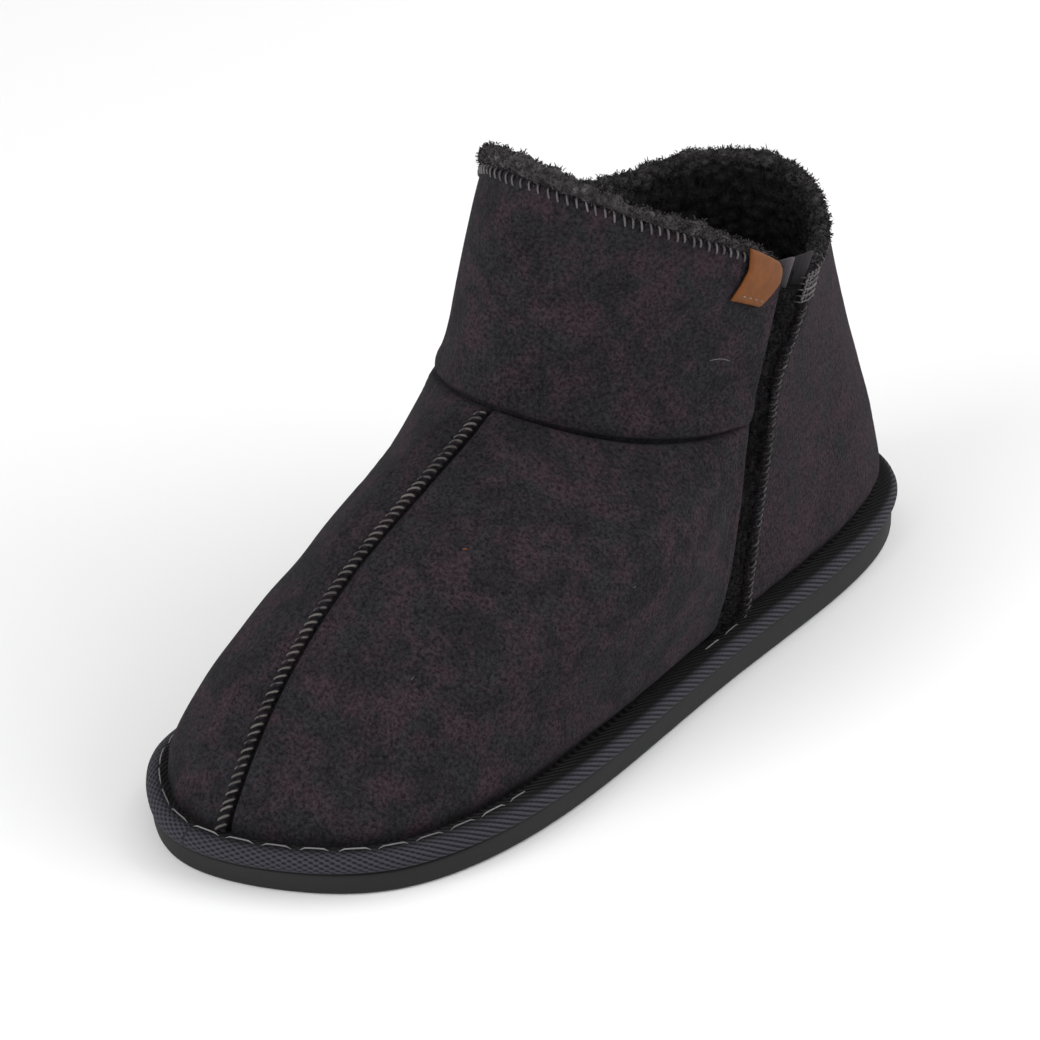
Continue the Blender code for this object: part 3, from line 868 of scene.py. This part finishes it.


# Platform bound in twill tape. The profile goes up the side and in over the top: share of the
# platform's height, then share of the reach. The shades are painted shade under the upper's overhang,
# less at the toe, with a slight painted highlight high on the sides, and darker at the tape's foot.
binding = {"reach": 0.0016, "columns": 900, "profile": [
    (0.02, -2.4), (0.00, -0.6), (0.06, 0.10), (0.16, 0.62), (0.30, 0.92), (0.45, 1.02), (0.60, 0.95),
    (0.74, 0.70), (0.86, 0.22), (0.95, -0.45), (1.00, -1.2), (1.01, -2.0), (0.99, -3.0),
], "toeShade": [0.4, 0.7, 1, 1, 1, 1, 1, 1, 1, 0.90, 0.50, 0.12, 0.05],
    "sideShade": [0.35, 0.6, 1, 1, 1, 1, 1.05, 1.1, 0.85, 0.03, 0.02, 0.02, 0.02]}


def ringPoints(reach, count):
    ring = offsetRing(outline, reach)
    arcs = arcLengths(outline)
    places = np.linspace(0, arcs[-1], count, endpoint=False)
    closed = np.vstack([ring, ring[:1]])
    points = np.stack([np.interp(places, arcs, axis) for axis in closed.T], -1)
    return points - middle, places


def buildPlatform():
    rows = []
    wraps = []
    travel = 0.0
    before = None
    for share, reach in binding["profile"]:
        ring, places = ringPoints(reach * binding["reach"], binding["columns"])
        z = platformBase(ring[:, 1]) + share * last["platformHeight"]
        row = np.column_stack([ring, z])
        if before is not None:
            travel += float(np.linalg.norm(row - before, axis=1).mean())
        before = row
        rows.append(row)
        wraps.append(np.column_stack([places, np.full(len(places), travel)]))
    grid = np.array(rows)
    side = sideOf(np.roll(grid[5], -1, 0) - np.roll(grid[5], 1, 0))
    out = np.column_stack([side, np.zeros(len(side))])
    wander = softNoise(grid, 0.018, 9)[..., None] * 0.00022
    grid = grid + out[None] * wander
    # painted shade: the toe's and the sides' shades are blended along the length
    behindToe = np.interp(grid[..., 1], [-0.110, -0.070], [0, 1])
    toeShade = np.array(binding["toeShade"])[:, None]
    shade = toeShade + (np.array(binding["sideShade"])[:, None] - toeShade) * behindToe
    addLoft("platform", grid, twill, "twill", ("platform",), uv=np.array(wraps), shade=shade)


buildPlatform()


# Tread
treadLook = {
    "rounding": 0.0014, "columns": 480, "rows": 45, "border": 0.007,
    "grooveDepth": 0.0012, "groovePitch": 0.0085, "wave": 0.0035, "waveLength": 0.026,
    "archDepth": 0.0010, "archPlace": 0.024, "archReach": 0.034,
    # the side from the floor up: share of the height, then reach in roundings
    "side": [(0.05, -0.62), (0.11, -0.30), (0.18, -0.10), (0.26, 0.0), (0.55, 0.03), (0.88, 0.0),
             (0.95, -0.12), (1.0, -0.5)],
}


def buildTread():
    look = treadLook
    outer, _ = ringPoints(-look["rounding"], look["columns"])
    spineX = np.interp(outer[:, 1], [-0.15, 0, 0.15], [-0.006, 0.001, 0.0])
    inward = np.column_stack([spineX, outer[:, 1] * 0.80]) - outer
    rows = []
    for share in np.arange(look["rows"] - 1, -1, -1) / (look["rows"] - 1):
        ring = outer + inward * share * 0.999
        edge = share * np.linalg.norm(inward, axis=1)
        along = ring[:, 1] + look["wave"] * np.sin(ring[:, 0] * 2 * math.pi / look["waveLength"])
        groove = np.clip(np.cos(along / look["groovePitch"] * 2 * math.pi) * 3 - 1.6, 0, 1)
        arch = np.clip((look["archReach"] - abs(ring[:, 1] - look["archPlace"])) / 0.004, 0, 1)
        inside = np.clip((edge - look["border"]) / 0.002, 0, 1)
        z = inside * np.maximum(groove * look["grooveDepth"], arch * look["archDepth"])
        rows.append(np.column_stack([ring, z]))
    for share, reach in look["side"]:
        ring, _ = ringPoints(reach * look["rounding"], look["columns"])
        rows.append(np.column_stack([ring, share * treadTop(ring[:, 1])]))
    addLoft("outsole", np.array(rows), rubber, "rubber", ("outsole",), sharp=50)


buildTread()
print("platform and tread made")


# Fleece
fleece = {
    "depth": 0.0060,
    "backDepth": 0.0046,
    "frontHeight": 0.0048,
    "backHeight": 0.0032,
    "slope": 0.34,
    "clump": 0.0090,
    "clumpRise": 0.0019,
    "curl": 0.0030,
    "curlRise": 0.0011,
    "strand": 0.0013,
    "strandWidth": 0.00042,
    # station, then the roll's height there as a share of its own
    "fullness": [(2.0, 1.0), (4.0, 1.0), (4.6, 1.05), (5.0, 1.1), (5.12, 1.15), (5.3, 0.7), (5.5, 0.65),
                 (5.75, 0.85), (6.0, 0.5)],
}


class Strands:
    # short curled ribbons gathered into one mesh
    def __init__(self):
        self.points = []
        self.faces = []
        self.shade = []

    def grow(self, roots, outs, count, length, width, lean=0.7):
        pick = rng.integers(0, len(roots), count)
        root = roots[pick] + rng.normal(0, 0.0003, (count, 3))
        out = outs[pick] + rng.normal(0, lean, (count, 3)) * 0.55
        out /= np.linalg.norm(out, axis=1)[:, None]
        side = np.cross(out, rng.normal(0, 1, (count, 3)))
        side /= np.linalg.norm(side, axis=1)[:, None]
        bend = np.cross(out, side)
        reach = length * rng.uniform(0.55, 1.25, count)[:, None]
        turn = rng.uniform(1.6, 4.2, count)[:, None]
        levels = 5
        shade = rng.uniform(0.15, 1.0, count)
        start = sum(len(block) for block in self.points)
        rows = []
        for level in range(levels):
            t = level / (levels - 1)
            radius = reach / turn
            outward = radius * np.sin(turn * t) * 0.7 + reach * t * 0.45
            center = root + bend * radius * (1 - np.cos(turn * t)) + out * outward
            half = side * width * (1 - 0.65 * t) * 0.5
            rows.append(np.stack([center - half, center + half], 1))
        block = np.stack(rows, 1).reshape(-1, 3)
        self.points.append(block)
        for i in range(count):
            base = start + i * levels * 2
            for level in range(levels - 1):
                low = base + level * 2
                self.faces.append((low, low + 1, low + 3, low + 2))
        # painted shade: each strand darkens toward its root; its own tone is random
        tips = np.repeat(np.linspace(0.35, 1.0, levels), 2)
        self.shade.append((shade[:, None] * tips[None]).ravel())

    def build(self, name, material):
        shade = np.concatenate(self.shade)
        addMesh(name, np.vstack(self.points), self.faces, material, "fleece", shade=shade)


def rollGrid(start, end, count, around, height, depth):
    # the roll along the suede's top edge: centre line, then a round section with clumps
    stations = np.linspace(start, end, count)
    base = ringAt(collarRing, stations)
    along = alongAt(collarRing, stations)
    out = np.column_stack([sideOf(along), np.zeros(count)])
    up = np.cross(out, along)
    places, shares = np.array(fleece["fullness"]).T
    tall = height * np.interp(stations, places, shares)
    clump = curlNoise(base, fleece["clump"], 31) * 1.5 - 0.5
    ends = np.clip(np.minimum(np.arange(count), np.arange(count)[::-1]) / (count * 0.02), 0, 1) ** 0.5
    ends = 0.25 + 0.75 * ends
    grid = np.zeros((count, around, 3))
    direction = np.zeros((count, around, 3))
    for i, turn in enumerate(np.linspace(0, 2 * math.pi, around, endpoint=False)):
        c = math.cos(turn)
        s = math.sin(turn)
        reach = -depth * 0.50 + c * depth * 0.48 * ends
        tufts = fleece["clumpRise"] * clump * max(s, 0)
        rise = tall * 0.50 * (1 + s * ends) + tufts + fleece["slope"] * reach
        grid[:, i] = base + out * reach[:, None] + up * rise[:, None]
        direction[:, i] = out * c + up * s
    return grid, direction


def buildRoll(name, start, end, count, around, height, depth, replaced, material, strandCount):
    grid, direction = rollGrid(start, end, count, around, height, depth)
    crown = curlNoise(grid, fleece["curl"], 5)
    fine = curlNoise(grid, fleece["curl"] * 0.45, 6)
    lift = fleece["curlRise"] * (crown * 1.6 - 0.8) + 0.0004 * fine
    outward = np.clip(np.cos(np.linspace(0, 2 * math.pi, around, endpoint=False)), 0, 1)
    lift *= 1 - 0.6 * outward[None]
    grid = grid + direction * lift[..., None]
    # painted shade between the curls, the crowns paler
    shade = np.clip(crown * 1.1 + fine * 0.3 - 0.1, 0, 1)
    addLoft(name, grid, material, "fleece", replaced, shade=shade)
    strands = Strands()
    kept = crown > 0.2
    strands.grow(grid[kept], direction[kept], strandCount, fleece["strand"], fleece["strandWidth"])
    strands.build(name + "Curls", material)


buildRoll("collarFront", 4.02, 5.985, 460, 40, fleece["frontHeight"], fleece["depth"], ("collar_front",),
          rollFleece, 9000)
buildRoll("collarBack", 2.02, 3.98, 320, 40, fleece["backHeight"], fleece["backDepth"], ("collar_back",),
          rimFleece, 6500)


liningLook = {"under": 0.0034, "thick": 0.0012, "curl": 0.0036, "curlRise": 0.0016, "fine": 0.0016,
              "fineRise": 0.0005, "strand": 0.0024, "strandWidth": 0.00032}


def buildLining():
    columns = np.linspace(0, 5, 330, endpoint=False)
    rises = np.concatenate([np.linspace(0.06, 0.95, 30), np.linspace(0.97, 2.0, 60)])
    grid = skinGrid(columns, rises)
    normals = gridNormals(np.concatenate([grid, grid[:, :1]], axis=1))[:, :-1]
    crown = curlNoise(grid, liningLook["curl"], 11)
    fine = curlNoise(grid, liningLook["fine"], 12)
    outer = grid - normals * liningLook["under"]
    lift = -liningLook["under"] - liningLook["thick"] - liningLook["curlRise"] * crown
    inner = grid + normals * (lift - liningLook["fineRise"] * fine)[..., None]
    # painted shade between the curls on the inside face; the outer face against the suede takes the deep
    # colour
    shade = np.concatenate([crown * 0, np.clip(crown * 1.1 + fine * 0.4 - 0.2, 0, 1)])
    points = np.concatenate([outer.reshape(-1, 3), inner.reshape(-1, 3)])
    addMesh("lining", points, ringWallFaces(*grid.shape[:2]), liningFleece, "fleece", shade=shade)
    strands = Strands()
    high = rises > 1.25
    strands.grow(inner[high].reshape(-1, 3), -normals[high].reshape(-1, 3), 9000, liningLook["strand"],
                 liningLook["strandWidth"])
    strands.build("liningCurls", liningFleece)


buildLining()


insoleLook = {"inset": 0.0062, "thick": 0.0030, "dome": 0.0012, "curl": 0.0036, "curlRise": 0.0013,
              "rings": 28}


def buildInsole():
    station = np.linspace(0, 5, 320, endpoint=False)
    level = skinGrid(station, [0.05])[0]
    side = sideOf(np.roll(level, -1, 0) - np.roll(level, 1, 0))
    edge = level[:, :2] - side * insoleLook["inset"]
    spine = np.column_stack([np.zeros(len(edge)), edge[:, 1] * 0.86])
    rows = []
    shades = []
    for k in range(insoleLook["rings"] + 1):
        share = 1 - k / insoleLook["rings"]
        ring = spine + (edge - spine) * max(share, 0.002)
        z = featherPlane(ring[:, 1]) + insoleLook["thick"] + insoleLook["dome"] * (1 - share ** 8)
        flat = np.column_stack([ring, z])
        crown = curlNoise(flat, insoleLook["curl"], 15)
        flat[:, 2] += insoleLook["curlRise"] * crown
        rows.append(flat)
        # painted shade between the curls, the crowns paler
        shades.append(crown)
    bottom = rows[0].copy()
    bottom[:, 2] = featherPlane(bottom[:, 1])
    grid = np.array([bottom] + rows)
    shade = np.array([shades[0]] + shades)
    addLoft("insole", grid, liningFleece, "fleece", ("insole",), shade=shade)


buildInsole()
print("fleece made")


# Side slit: gusset of fleece and an elastic band
gussetLook = {"under": 0.0024, "thick": 0.0020, "curl": 0.0026, "curlRise": 0.0012, "overlap": 0.0024,
              "head": 1.90, "strand": 0.0020, "strandWidth": 0.00028}


def buildGusset():
    rises = np.concatenate([np.linspace(0.0, 1.0, 90), np.linspace(1.01, gussetLook["head"], 50)])
    shares = np.linspace(-0.12, 1.12, 36)
    past = np.clip(np.maximum(-shares, shares - 1) / 0.12, 0, 1)
    extra = np.where(shares < 0, -1, 1) * gussetLook["overlap"] * past
    grid = skinGrid(1 + np.clip(shares, 0, 1), rises, extra)
    normals = gridNormals(grid)
    crown = curlNoise(grid, gussetLook["curl"], 21)
    fine = curlNoise(grid, gussetLook["curl"] * 0.45, 22)
    lift = gussetLook["curlRise"] * crown + 0.0004 * fine - gussetLook["under"]
    lift -= 0.0012 * (abs(extra) > 0)
    outer = grid + normals * lift[..., None]
    inner = grid + normals * (-gussetLook["under"] - gussetLook["thick"])
    # painted shade between the curls on the face; the hidden back takes the deep colour
    shade = [np.clip(crown + fine * 0.3 - 0.15, 0, 1), crown * 0]
    addWall("sideGusset", outer, inner, gussetFleece, "fleece", ("side_gusset",), shade=shade)
    strands = Strands()
    strands.grow(outer.reshape(-1, 3), normals.reshape(-1, 3), 3600, gussetLook["strand"],
                 gussetLook["strandWidth"])
    strands.build("gussetCurls", gussetFleece)


buildGusset()

elasticLook = {"foot": 1.87, "stand": 0.0050, "pleats": 1.7, "pleatDepth": 0.0021, "under": 0.0022,
               "thick": 0.0009}


def buildElastic():
    # a band gathered in soft upright pleats
    rises = np.linspace(elasticLook["foot"], 2 + elasticLook["stand"] / last["slitShaft"], 24)
    shares = np.linspace(0.06, 0.94, 60)
    base = skinGrid(1 + shares, np.clip(rises, 0, 2))
    above = (skinGrid(1 + shares, [2.0])[0] - skinGrid(1 + shares, [1.9])[0]) * 10
    wave = np.cos((shares - 0.30) * elasticLook["pleats"] * 2 * math.pi)
    ragged = 0.62 + 0.25 * wave + 0.35 * shares
    base = base + above[None] * (np.clip(rises - 2, 0, 1)[:, None] * ragged)[..., None]
    normals = gridNormals(base)
    sag = np.sin(shares * math.pi) * 0.0009
    pleat = elasticLook["pleatDepth"] * wave
    fullness = np.linspace(0.5, 1.0, len(rises))[:, None]
    lift = -elasticLook["under"] - sag[None] + pleat[None] * fullness
    outer = base + normals * lift[..., None]
    inner = outer - normals * elasticLook["thick"]
    uv = np.stack(np.meshgrid(shares * 0.016, np.linspace(0, 0.015, len(rises))), -1)
    # painted highlight on the front pleat's crest, painted shade in the troughs, toward the gusset and the
    # quarter, and down to the band's foot
    shade = (0.5 + 0.5 * wave) * (1 - 0.95 * shares) * np.linspace(0, 1, len(rises))[:, None]
    addWall("elastic", outer, inner, ribbon, "ribbon", ("elastic",), uv=np.array([uv, uv]),
            shade=[shade, shade])


buildElastic()


# Tag
tagLook = {
    "topWidth": 0.0188, "width": 0.0126, "length": 0.0128, "thick": 0.0012, "corner": 0.0042,
    "swing": 0.0077, "under": 0.0007, "forward": 0.0045, "over": 0.0020,
    # share of the length, then share of the swing toward the toe
    "way": [(0.00, 0.0), (0.20, 0.0), (0.40, 0.08), (0.70, 0.52), (1.00, 1.0)],
}


def tagPoint(across, share, lift):
    # a point of the tag: across from its front edge, share of the way down
    fromBack = (1 - across) * (tagLook["topWidth"] + (tagLook["width"] - tagLook["topWidth"]) * share)
    over = max(tagLook["corner"] - fromBack, 0)
    cut = (tagLook["corner"] - math.sqrt(tagLook["corner"] ** 2 - over ** 2)) / tagLook["length"]
    down = cut + share * (1 - cut)
    places, swings = np.array(tagLook["way"]).T
    extra = -tagLook["forward"] - fromBack - tagLook["swing"] * np.interp(down, places, swings)
    drop = down * tagLook["length"] - tagLook["over"]
    point, out, along, up = surfacePoint(1.0, 2 - max(drop, 0) / last["slitShaft"], extra, lift)
    return point + up * max(-drop, 0), out, along, up


def buildTag():
    rows = 30
    columns = 26
    outer = np.zeros((rows, columns, 3))
    inner = np.zeros((rows, columns, 3))
    for row in range(rows):
        for column in range(columns):
            share = 1 - row / (rows - 1)
            across = column / (columns - 1)
            rim = min(min(across, 1 - across) * tagLook["width"], min(share, 1 - share) * tagLook["length"])
            soft = float(edgeRound(np.array(rim), 0.0006)) * tagLook["thick"] * 0.4
            lift = tagLook["under"] + 0.0006 * math.sin(share * math.pi)
            point, out, along, up = tagPoint(across, share, lift)
            outer[row, column] = point + out * (tagLook["thick"] - soft)
            inner[row, column] = point
    addWall("sideTag", outer, inner, leather, "leather", ("side_tag",))


buildTag()
print("slit and tag made")


# Stitches
stitchLook = {
    "ridgeWidth": 0.0029,
    "ridgeHeight": 0.0017,
    "ridgePitch": 0.0025,
    "ridgeSlant": 0.0012,
    "ridgeBeat": 0.00022,
    "collarPitch": 0.0029,
    "collarLeg": 0.0024,
    "collarSlant": 0.0007,
    # the shaft's height along the suede, for one unit of rise
    "collarShaft": 0.055,
    "edgePitch": 0.0021,
    "edgeBand": 0.0027,
    "baseStitch": 0.0086,
    "baseGap": 0.0024,
    # thread radii
    "centreThread": 0.00040,
    "collarThread": 0.00031,
    "edgeThread": 0.00030,
    "baseThread": 0.00022,
    "tagThread": 0.00024,
}


def pathLengths(path):
    return np.append(0, np.cumsum(np.linalg.norm(np.diff(path, axis=0), axis=1)))


def stitchPlaces(length, pitch, spread, spared=0):
    for k in range(int(length / pitch) - spared):
        yield (k + 0.5) * pitch + rng.normal(0, spread)


def buildCentreSeam():
    # a raised welt with slanting stitches over it
    rises = np.linspace(0.004, 0.985, 420)
    path = skinGrid([0.0], rises)[:, 0]
    lengths = pathLengths(path)
    outs, alongs = np.array([surfacePoint(0.0, rise)[1:3] for rise in rises]).transpose(1, 0, 2)
    half = stitchLook["ridgeWidth"] / 2
    pitch = stitchLook["ridgePitch"]
    slant = stitchLook["ridgeSlant"]
    rows = []
    shades = []
    for turn in np.linspace(0, math.pi, 13):
        wave = -np.cos((lengths + math.cos(turn) * slant) / pitch * 2 * math.pi)
        beat = stitchLook["ridgeBeat"] * wave
        reach = np.cos(turn) * (half + beat * 0.5)
        rise = np.sin(turn) * (stitchLook["ridgeHeight"] + beat) - 0.0007
        rows.append(path + alongs * -reach[:, None] + outs * rise[:, None])
        # painted shade in the furrows between the stitches, the crests at full colour
        shades.append(0.65 + wave * 0.35)
    rows.append(path + outs * -0.0016)
    shades.append(shades[-1])
    grid = np.array(rows).transpose(1, 0, 2)
    addLoft("centreSeam", grid, suede, "suede", shade=np.array(shades).T)
    stitches = Threads(stitchLook["centreThread"])
    for middleAt in stitchPlaces(lengths[-1], pitch, 0.00010):
        high = rng.uniform(0.85, 1.0)
        points = []
        for turn in np.linspace(0.25, math.pi - 0.25, 8):
            at = middleAt - math.cos(turn) * slant
            point, out, along, up = surfacePoint(0.0, float(np.interp(at, lengths, rises)))
            reach = math.cos(turn) * half
            height = math.sin(turn) * stitchLook["ridgeHeight"] * high - 0.00062
            points.append(point - along * reach + out * height)
        stitches.add(points)
    stitches.build("centreSeamThread", seamThread, "fleece")


def buildCollarStitches(name, start, end):
    # overlock along the top edge: slanting legs down the suede that turn in over the edge
    stations = np.linspace(start, end, 900)
    path = ringAt(collarRing, stations)
    lengths = pathLengths(path)
    stitches = Threads(stitchLook["collarThread"])
    # share of the leg down, then lift
    steps = [(1.0, -0.0005), (0.85, 0.0001), (0.5, 0.0003), (0.2, 0.0002), (0.0, -0.0003), (0.0, -0.0012)]
    for at in stitchPlaces(lengths[-1], stitchLook["collarPitch"], 0.00018):
        station = float(np.interp(at, lengths, stations)) % 5
        leg = stitchLook["collarLeg"] * rng.uniform(0.8, 1.1) / stitchLook["collarShaft"]
        slant = stitchLook["collarSlant"] * rng.uniform(0.5, 1.4)
        stitches.add([surfacePoint(station, 2 - drop * leg, drop * slant, lift)[0] for drop, lift in steps])
    stitches.build(name, edgeThread, "fleece")


def buildEdgeStitches():
    # short slanting stitches in a fuzzy band along the quarter's edge beside the slit
    rises = np.linspace(0.02, 1.80, 800)
    path = skinGrid([2.0], rises)[:, 0]
    lengths = pathLengths(path)
    stitches = Threads(stitchLook["edgeThread"])
    # share of the band, lift and slide along the edge
    steps = [(1.0, -0.0001, 0.0016), (0.75, 0.0005, 0.0012), (0.45, 0.0007, 0.0008), (0.12, 0.0005, 0.0003),
             (-0.1, -0.0006, 0.0)]
    for at in stitchPlaces(lengths[-1], stitchLook["edgePitch"], 0.00015, 1):
        points = []
        for share, lift, slide in steps:
            rise = float(np.interp(at + slide, lengths, rises))
            reach = share * stitchLook["edgeBand"] - slitCreep(rise)
            points.append(surfacePoint(2.0, rise, reach, lift)[0])
        stitches.add(points)
    stitches.build("slitEdgeThread", dullThread, "fleece")
    fuzz = Strands()
    picks = itertools.product(np.linspace(0.02, 1.97, 260), (-0.0002, 0.0009, 0.0020))
    frames = [surfacePoint(2.0, rise, reach - slitCreep(rise), 0.0001) for rise, reach in picks]
    roots = np.array([item[0] for item in frames])
    outs = np.array([item[1] - 0.6 * item[2] for item in frames])
    fuzz.grow(roots, outs, 3000, 0.0012, 0.00020)
    fuzz.build("slitEdgeFuzz", rimFleece)


def buildBaseStitches():
    # long running stitches where the upper meets the tape
    ring, _ = ringPoints(-last["featherInset"] + 0.0009, 2800)
    # in sight at the toe and at the slit's foot, sunk under the upper elsewhere
    sink = np.interp(ring[:, 1], [-0.085, -0.060, 0.008, 0.020, 0.036, 0.050], [0, 1, 1, 0.2, 0.2, 1])
    sink = np.where((ring[:, 0] < 0) & (ring[:, 1] > -0.06), 1, sink)
    inner, _ = ringPoints(-last["featherInset"] - 0.0020, 2800)
    ring = ring + (inner - ring) * sink[:, None]
    path = np.column_stack([ring, featherPlane(ring[:, 1]) + 0.0003 - 0.0022 * sink])
    lengths = pathLengths(path)
    stitches = Threads(stitchLook["baseThread"])
    count = int(lengths[-1] / (stitchLook["baseStitch"] + stitchLook["baseGap"]))
    pitch = lengths[-1] / count
    for k in range(count):
        length = stitchLook["baseStitch"] * rng.uniform(0.94, 1.04)
        points = []
        for share in np.linspace(0, 1, 7):
            at = k * pitch + share * length
            point = np.array([np.interp(at, lengths, path[:, axis]) for axis in range(3)])
            point[2] += 0.0003 * math.sin(share * math.pi) ** 0.5 - (0.0005 if share in (0, 1) else 0)
            points.append(point)
        stitches.add(points)
    stitches.build("baseThread", baseThread, "fleece")


def buildTagStitches():
    stitches = Threads(stitchLook["tagThread"])
    face = tagLook["under"] + tagLook["thick"]
    steps = [(-0.035, -0.0002), (-0.02, 0.0003), (0.02, 0.0003), (0.035, -0.0002)]
    for across in (0.22, 0.42, 0.62, 0.82):
        stitches.add([tagPoint(across + slide, 0.87, face + lift)[0] for slide, lift in steps])
    stitches.build("tagThread", baseThread, "fleece")


def buildBarTack():
    # rows of chain loops at the quarter's top corner
    stitches = Threads(stitchLook["edgeThread"])
    for reach in (-0.0036, -0.0010, 0.0016, 0.0042):
        for k in range(5):
            low = 1.80 + k * 0.040
            points = []
            for turn in np.linspace(0, 2 * math.pi, 9)[:-1]:
                rise = low + 0.019 + 0.019 * math.sin(turn)
                points.append(surfacePoint(2.0, min(rise, 2), reach + 0.0006 * math.cos(turn), 0.0008)[0])
            stitches.add(points)
    for k in range(5):
        rise = 1.80 + k * 0.042
        steps = [(-0.0050, -0.0010), (-0.0040, 0.0006), (0.0, 0.0011), (0.0046, 0.0009), (0.0058, 0.0)]
        points = [surfacePoint(2.0, min(rise, 2), reach, lift)[0] for reach, lift in steps]
        stitches.add(points)
    stitches.build("barTackThread", edgeThread, "fleece")


# Lint caught in the nap: station, rise, length, turn from the level, and which thread
lint = [
    (5.760, 1.425, 0.0076, -0.06, "pale"),
    (5.60, 0.52, 0.0010, 0.3, "pale"),
    (5.25, 0.30, 0.0012, 0.8, "pale"),
    (5.17, 0.62, 0.0012, 0.2, "tan"),
]


def buildLint():
    hairs = {"pale": Threads(0.00008, 5), "tan": Threads(0.00028, 5)}
    for station, rise, length, turn, kind in lint:
        point, out, along, up = surfacePoint(station % 5, rise, 0.0, 0.0010)
        way = along * math.cos(turn) + up * math.sin(turn)
        side = np.cross(out, way)
        t = np.linspace(0, 1, 8)[:, None]
        hairs[kind].add(point + length * (way * (t - 0.5) + side * 0.12 * np.sin(t * 2.6)))
    hairs["pale"].build("paleLint", baseThread, "fleece")
    hairs["tan"].build("tanLint", leather, "leather")


buildCentreSeam()
buildCollarStitches("collarFrontThread", 4.02, 5.93)
buildCollarStitches("collarBackThread", 2.06, 3.98)
buildEdgeStitches()
buildBaseStitches()
buildTagStitches()
buildBarTack()
buildLint()
print("stitches made")


# Floor, lights and camera
studio = {
    "floor": (0.80, 0.80, 0.80), "world": 0.64,
    # name, place, height of the point it aims at, size and power
    "lights": [("key", (-0.2, -1.5, 0.85), 0.06, 1.1, 23), ("fill", (1.2, 0.8, 0.8), 0.06, 1.3, 18),
               ("rim", (0.3, 1.3, 1.1), 0.08, 1.0, 8)],
}
view = {"place": (0.86718, -1.08572, 0.83029), "azimuth": 39.051, "elevation": 29.254, "lens": 186.9}


def addLight(name, place, height, size, power):
    light = bpy.data.lights.new(name, "AREA")
    light.size = size
    light.energy = power
    lamp = bpy.data.objects.new(name, light)
    lamp.location = place
    aim = np.array((0, 0, height)) - np.array(place)
    yaw = math.atan2(aim[0], -aim[1])
    pitch = math.atan2(math.hypot(aim[0], aim[1]), -aim[2])
    lamp.rotation_euler = (pitch, 0, yaw + math.pi)
    bpy.context.scene.collection.objects.link(lamp)


def buildStudio():
    mesh = bpy.data.meshes.new("floor")
    mesh.from_pydata([(-3, -3, 0), (3, -3, 0), (3, 3, 0), (-3, 3, 0)], [], [(0, 1, 2, 3)])
    floor = bpy.data.objects.new("floor", mesh)
    bpy.context.scene.collection.objects.link(floor)
    material = bpy.data.materials.new("floor")
    material.use_nodes = True
    surface = material.node_tree.nodes["Principled BSDF"]
    surface.inputs["Base Color"].default_value = (*studio["floor"], 1)
    surface.inputs["Roughness"].default_value = 0.9
    mesh.materials.append(material)
    world = bpy.data.worlds.new("studio")
    world.use_nodes = True
    world.node_tree.nodes["Background"].inputs["Color"].default_value = (1, 1, 1, 1)
    world.node_tree.nodes["Background"].inputs["Strength"].default_value = studio["world"]
    bpy.context.scene.world = world
    for light in studio["lights"]:
        addLight(*light)


def buildCamera():
    camera = bpy.data.cameras.new("camera")
    camera.sensor_width = 36
    camera.lens = view["lens"]
    camera.clip_end = 20
    lens = bpy.data.objects.new("camera", camera)
    lens.location = view["place"]
    lens.rotation_euler = (math.pi / 2 - math.radians(view["elevation"]), 0, math.radians(view["azimuth"]))
    bpy.context.scene.collection.objects.link(lens)
    bpy.context.scene.camera = lens


buildStudio()
buildCamera()
bpy.context.scene.view_settings.view_transform = "Standard"
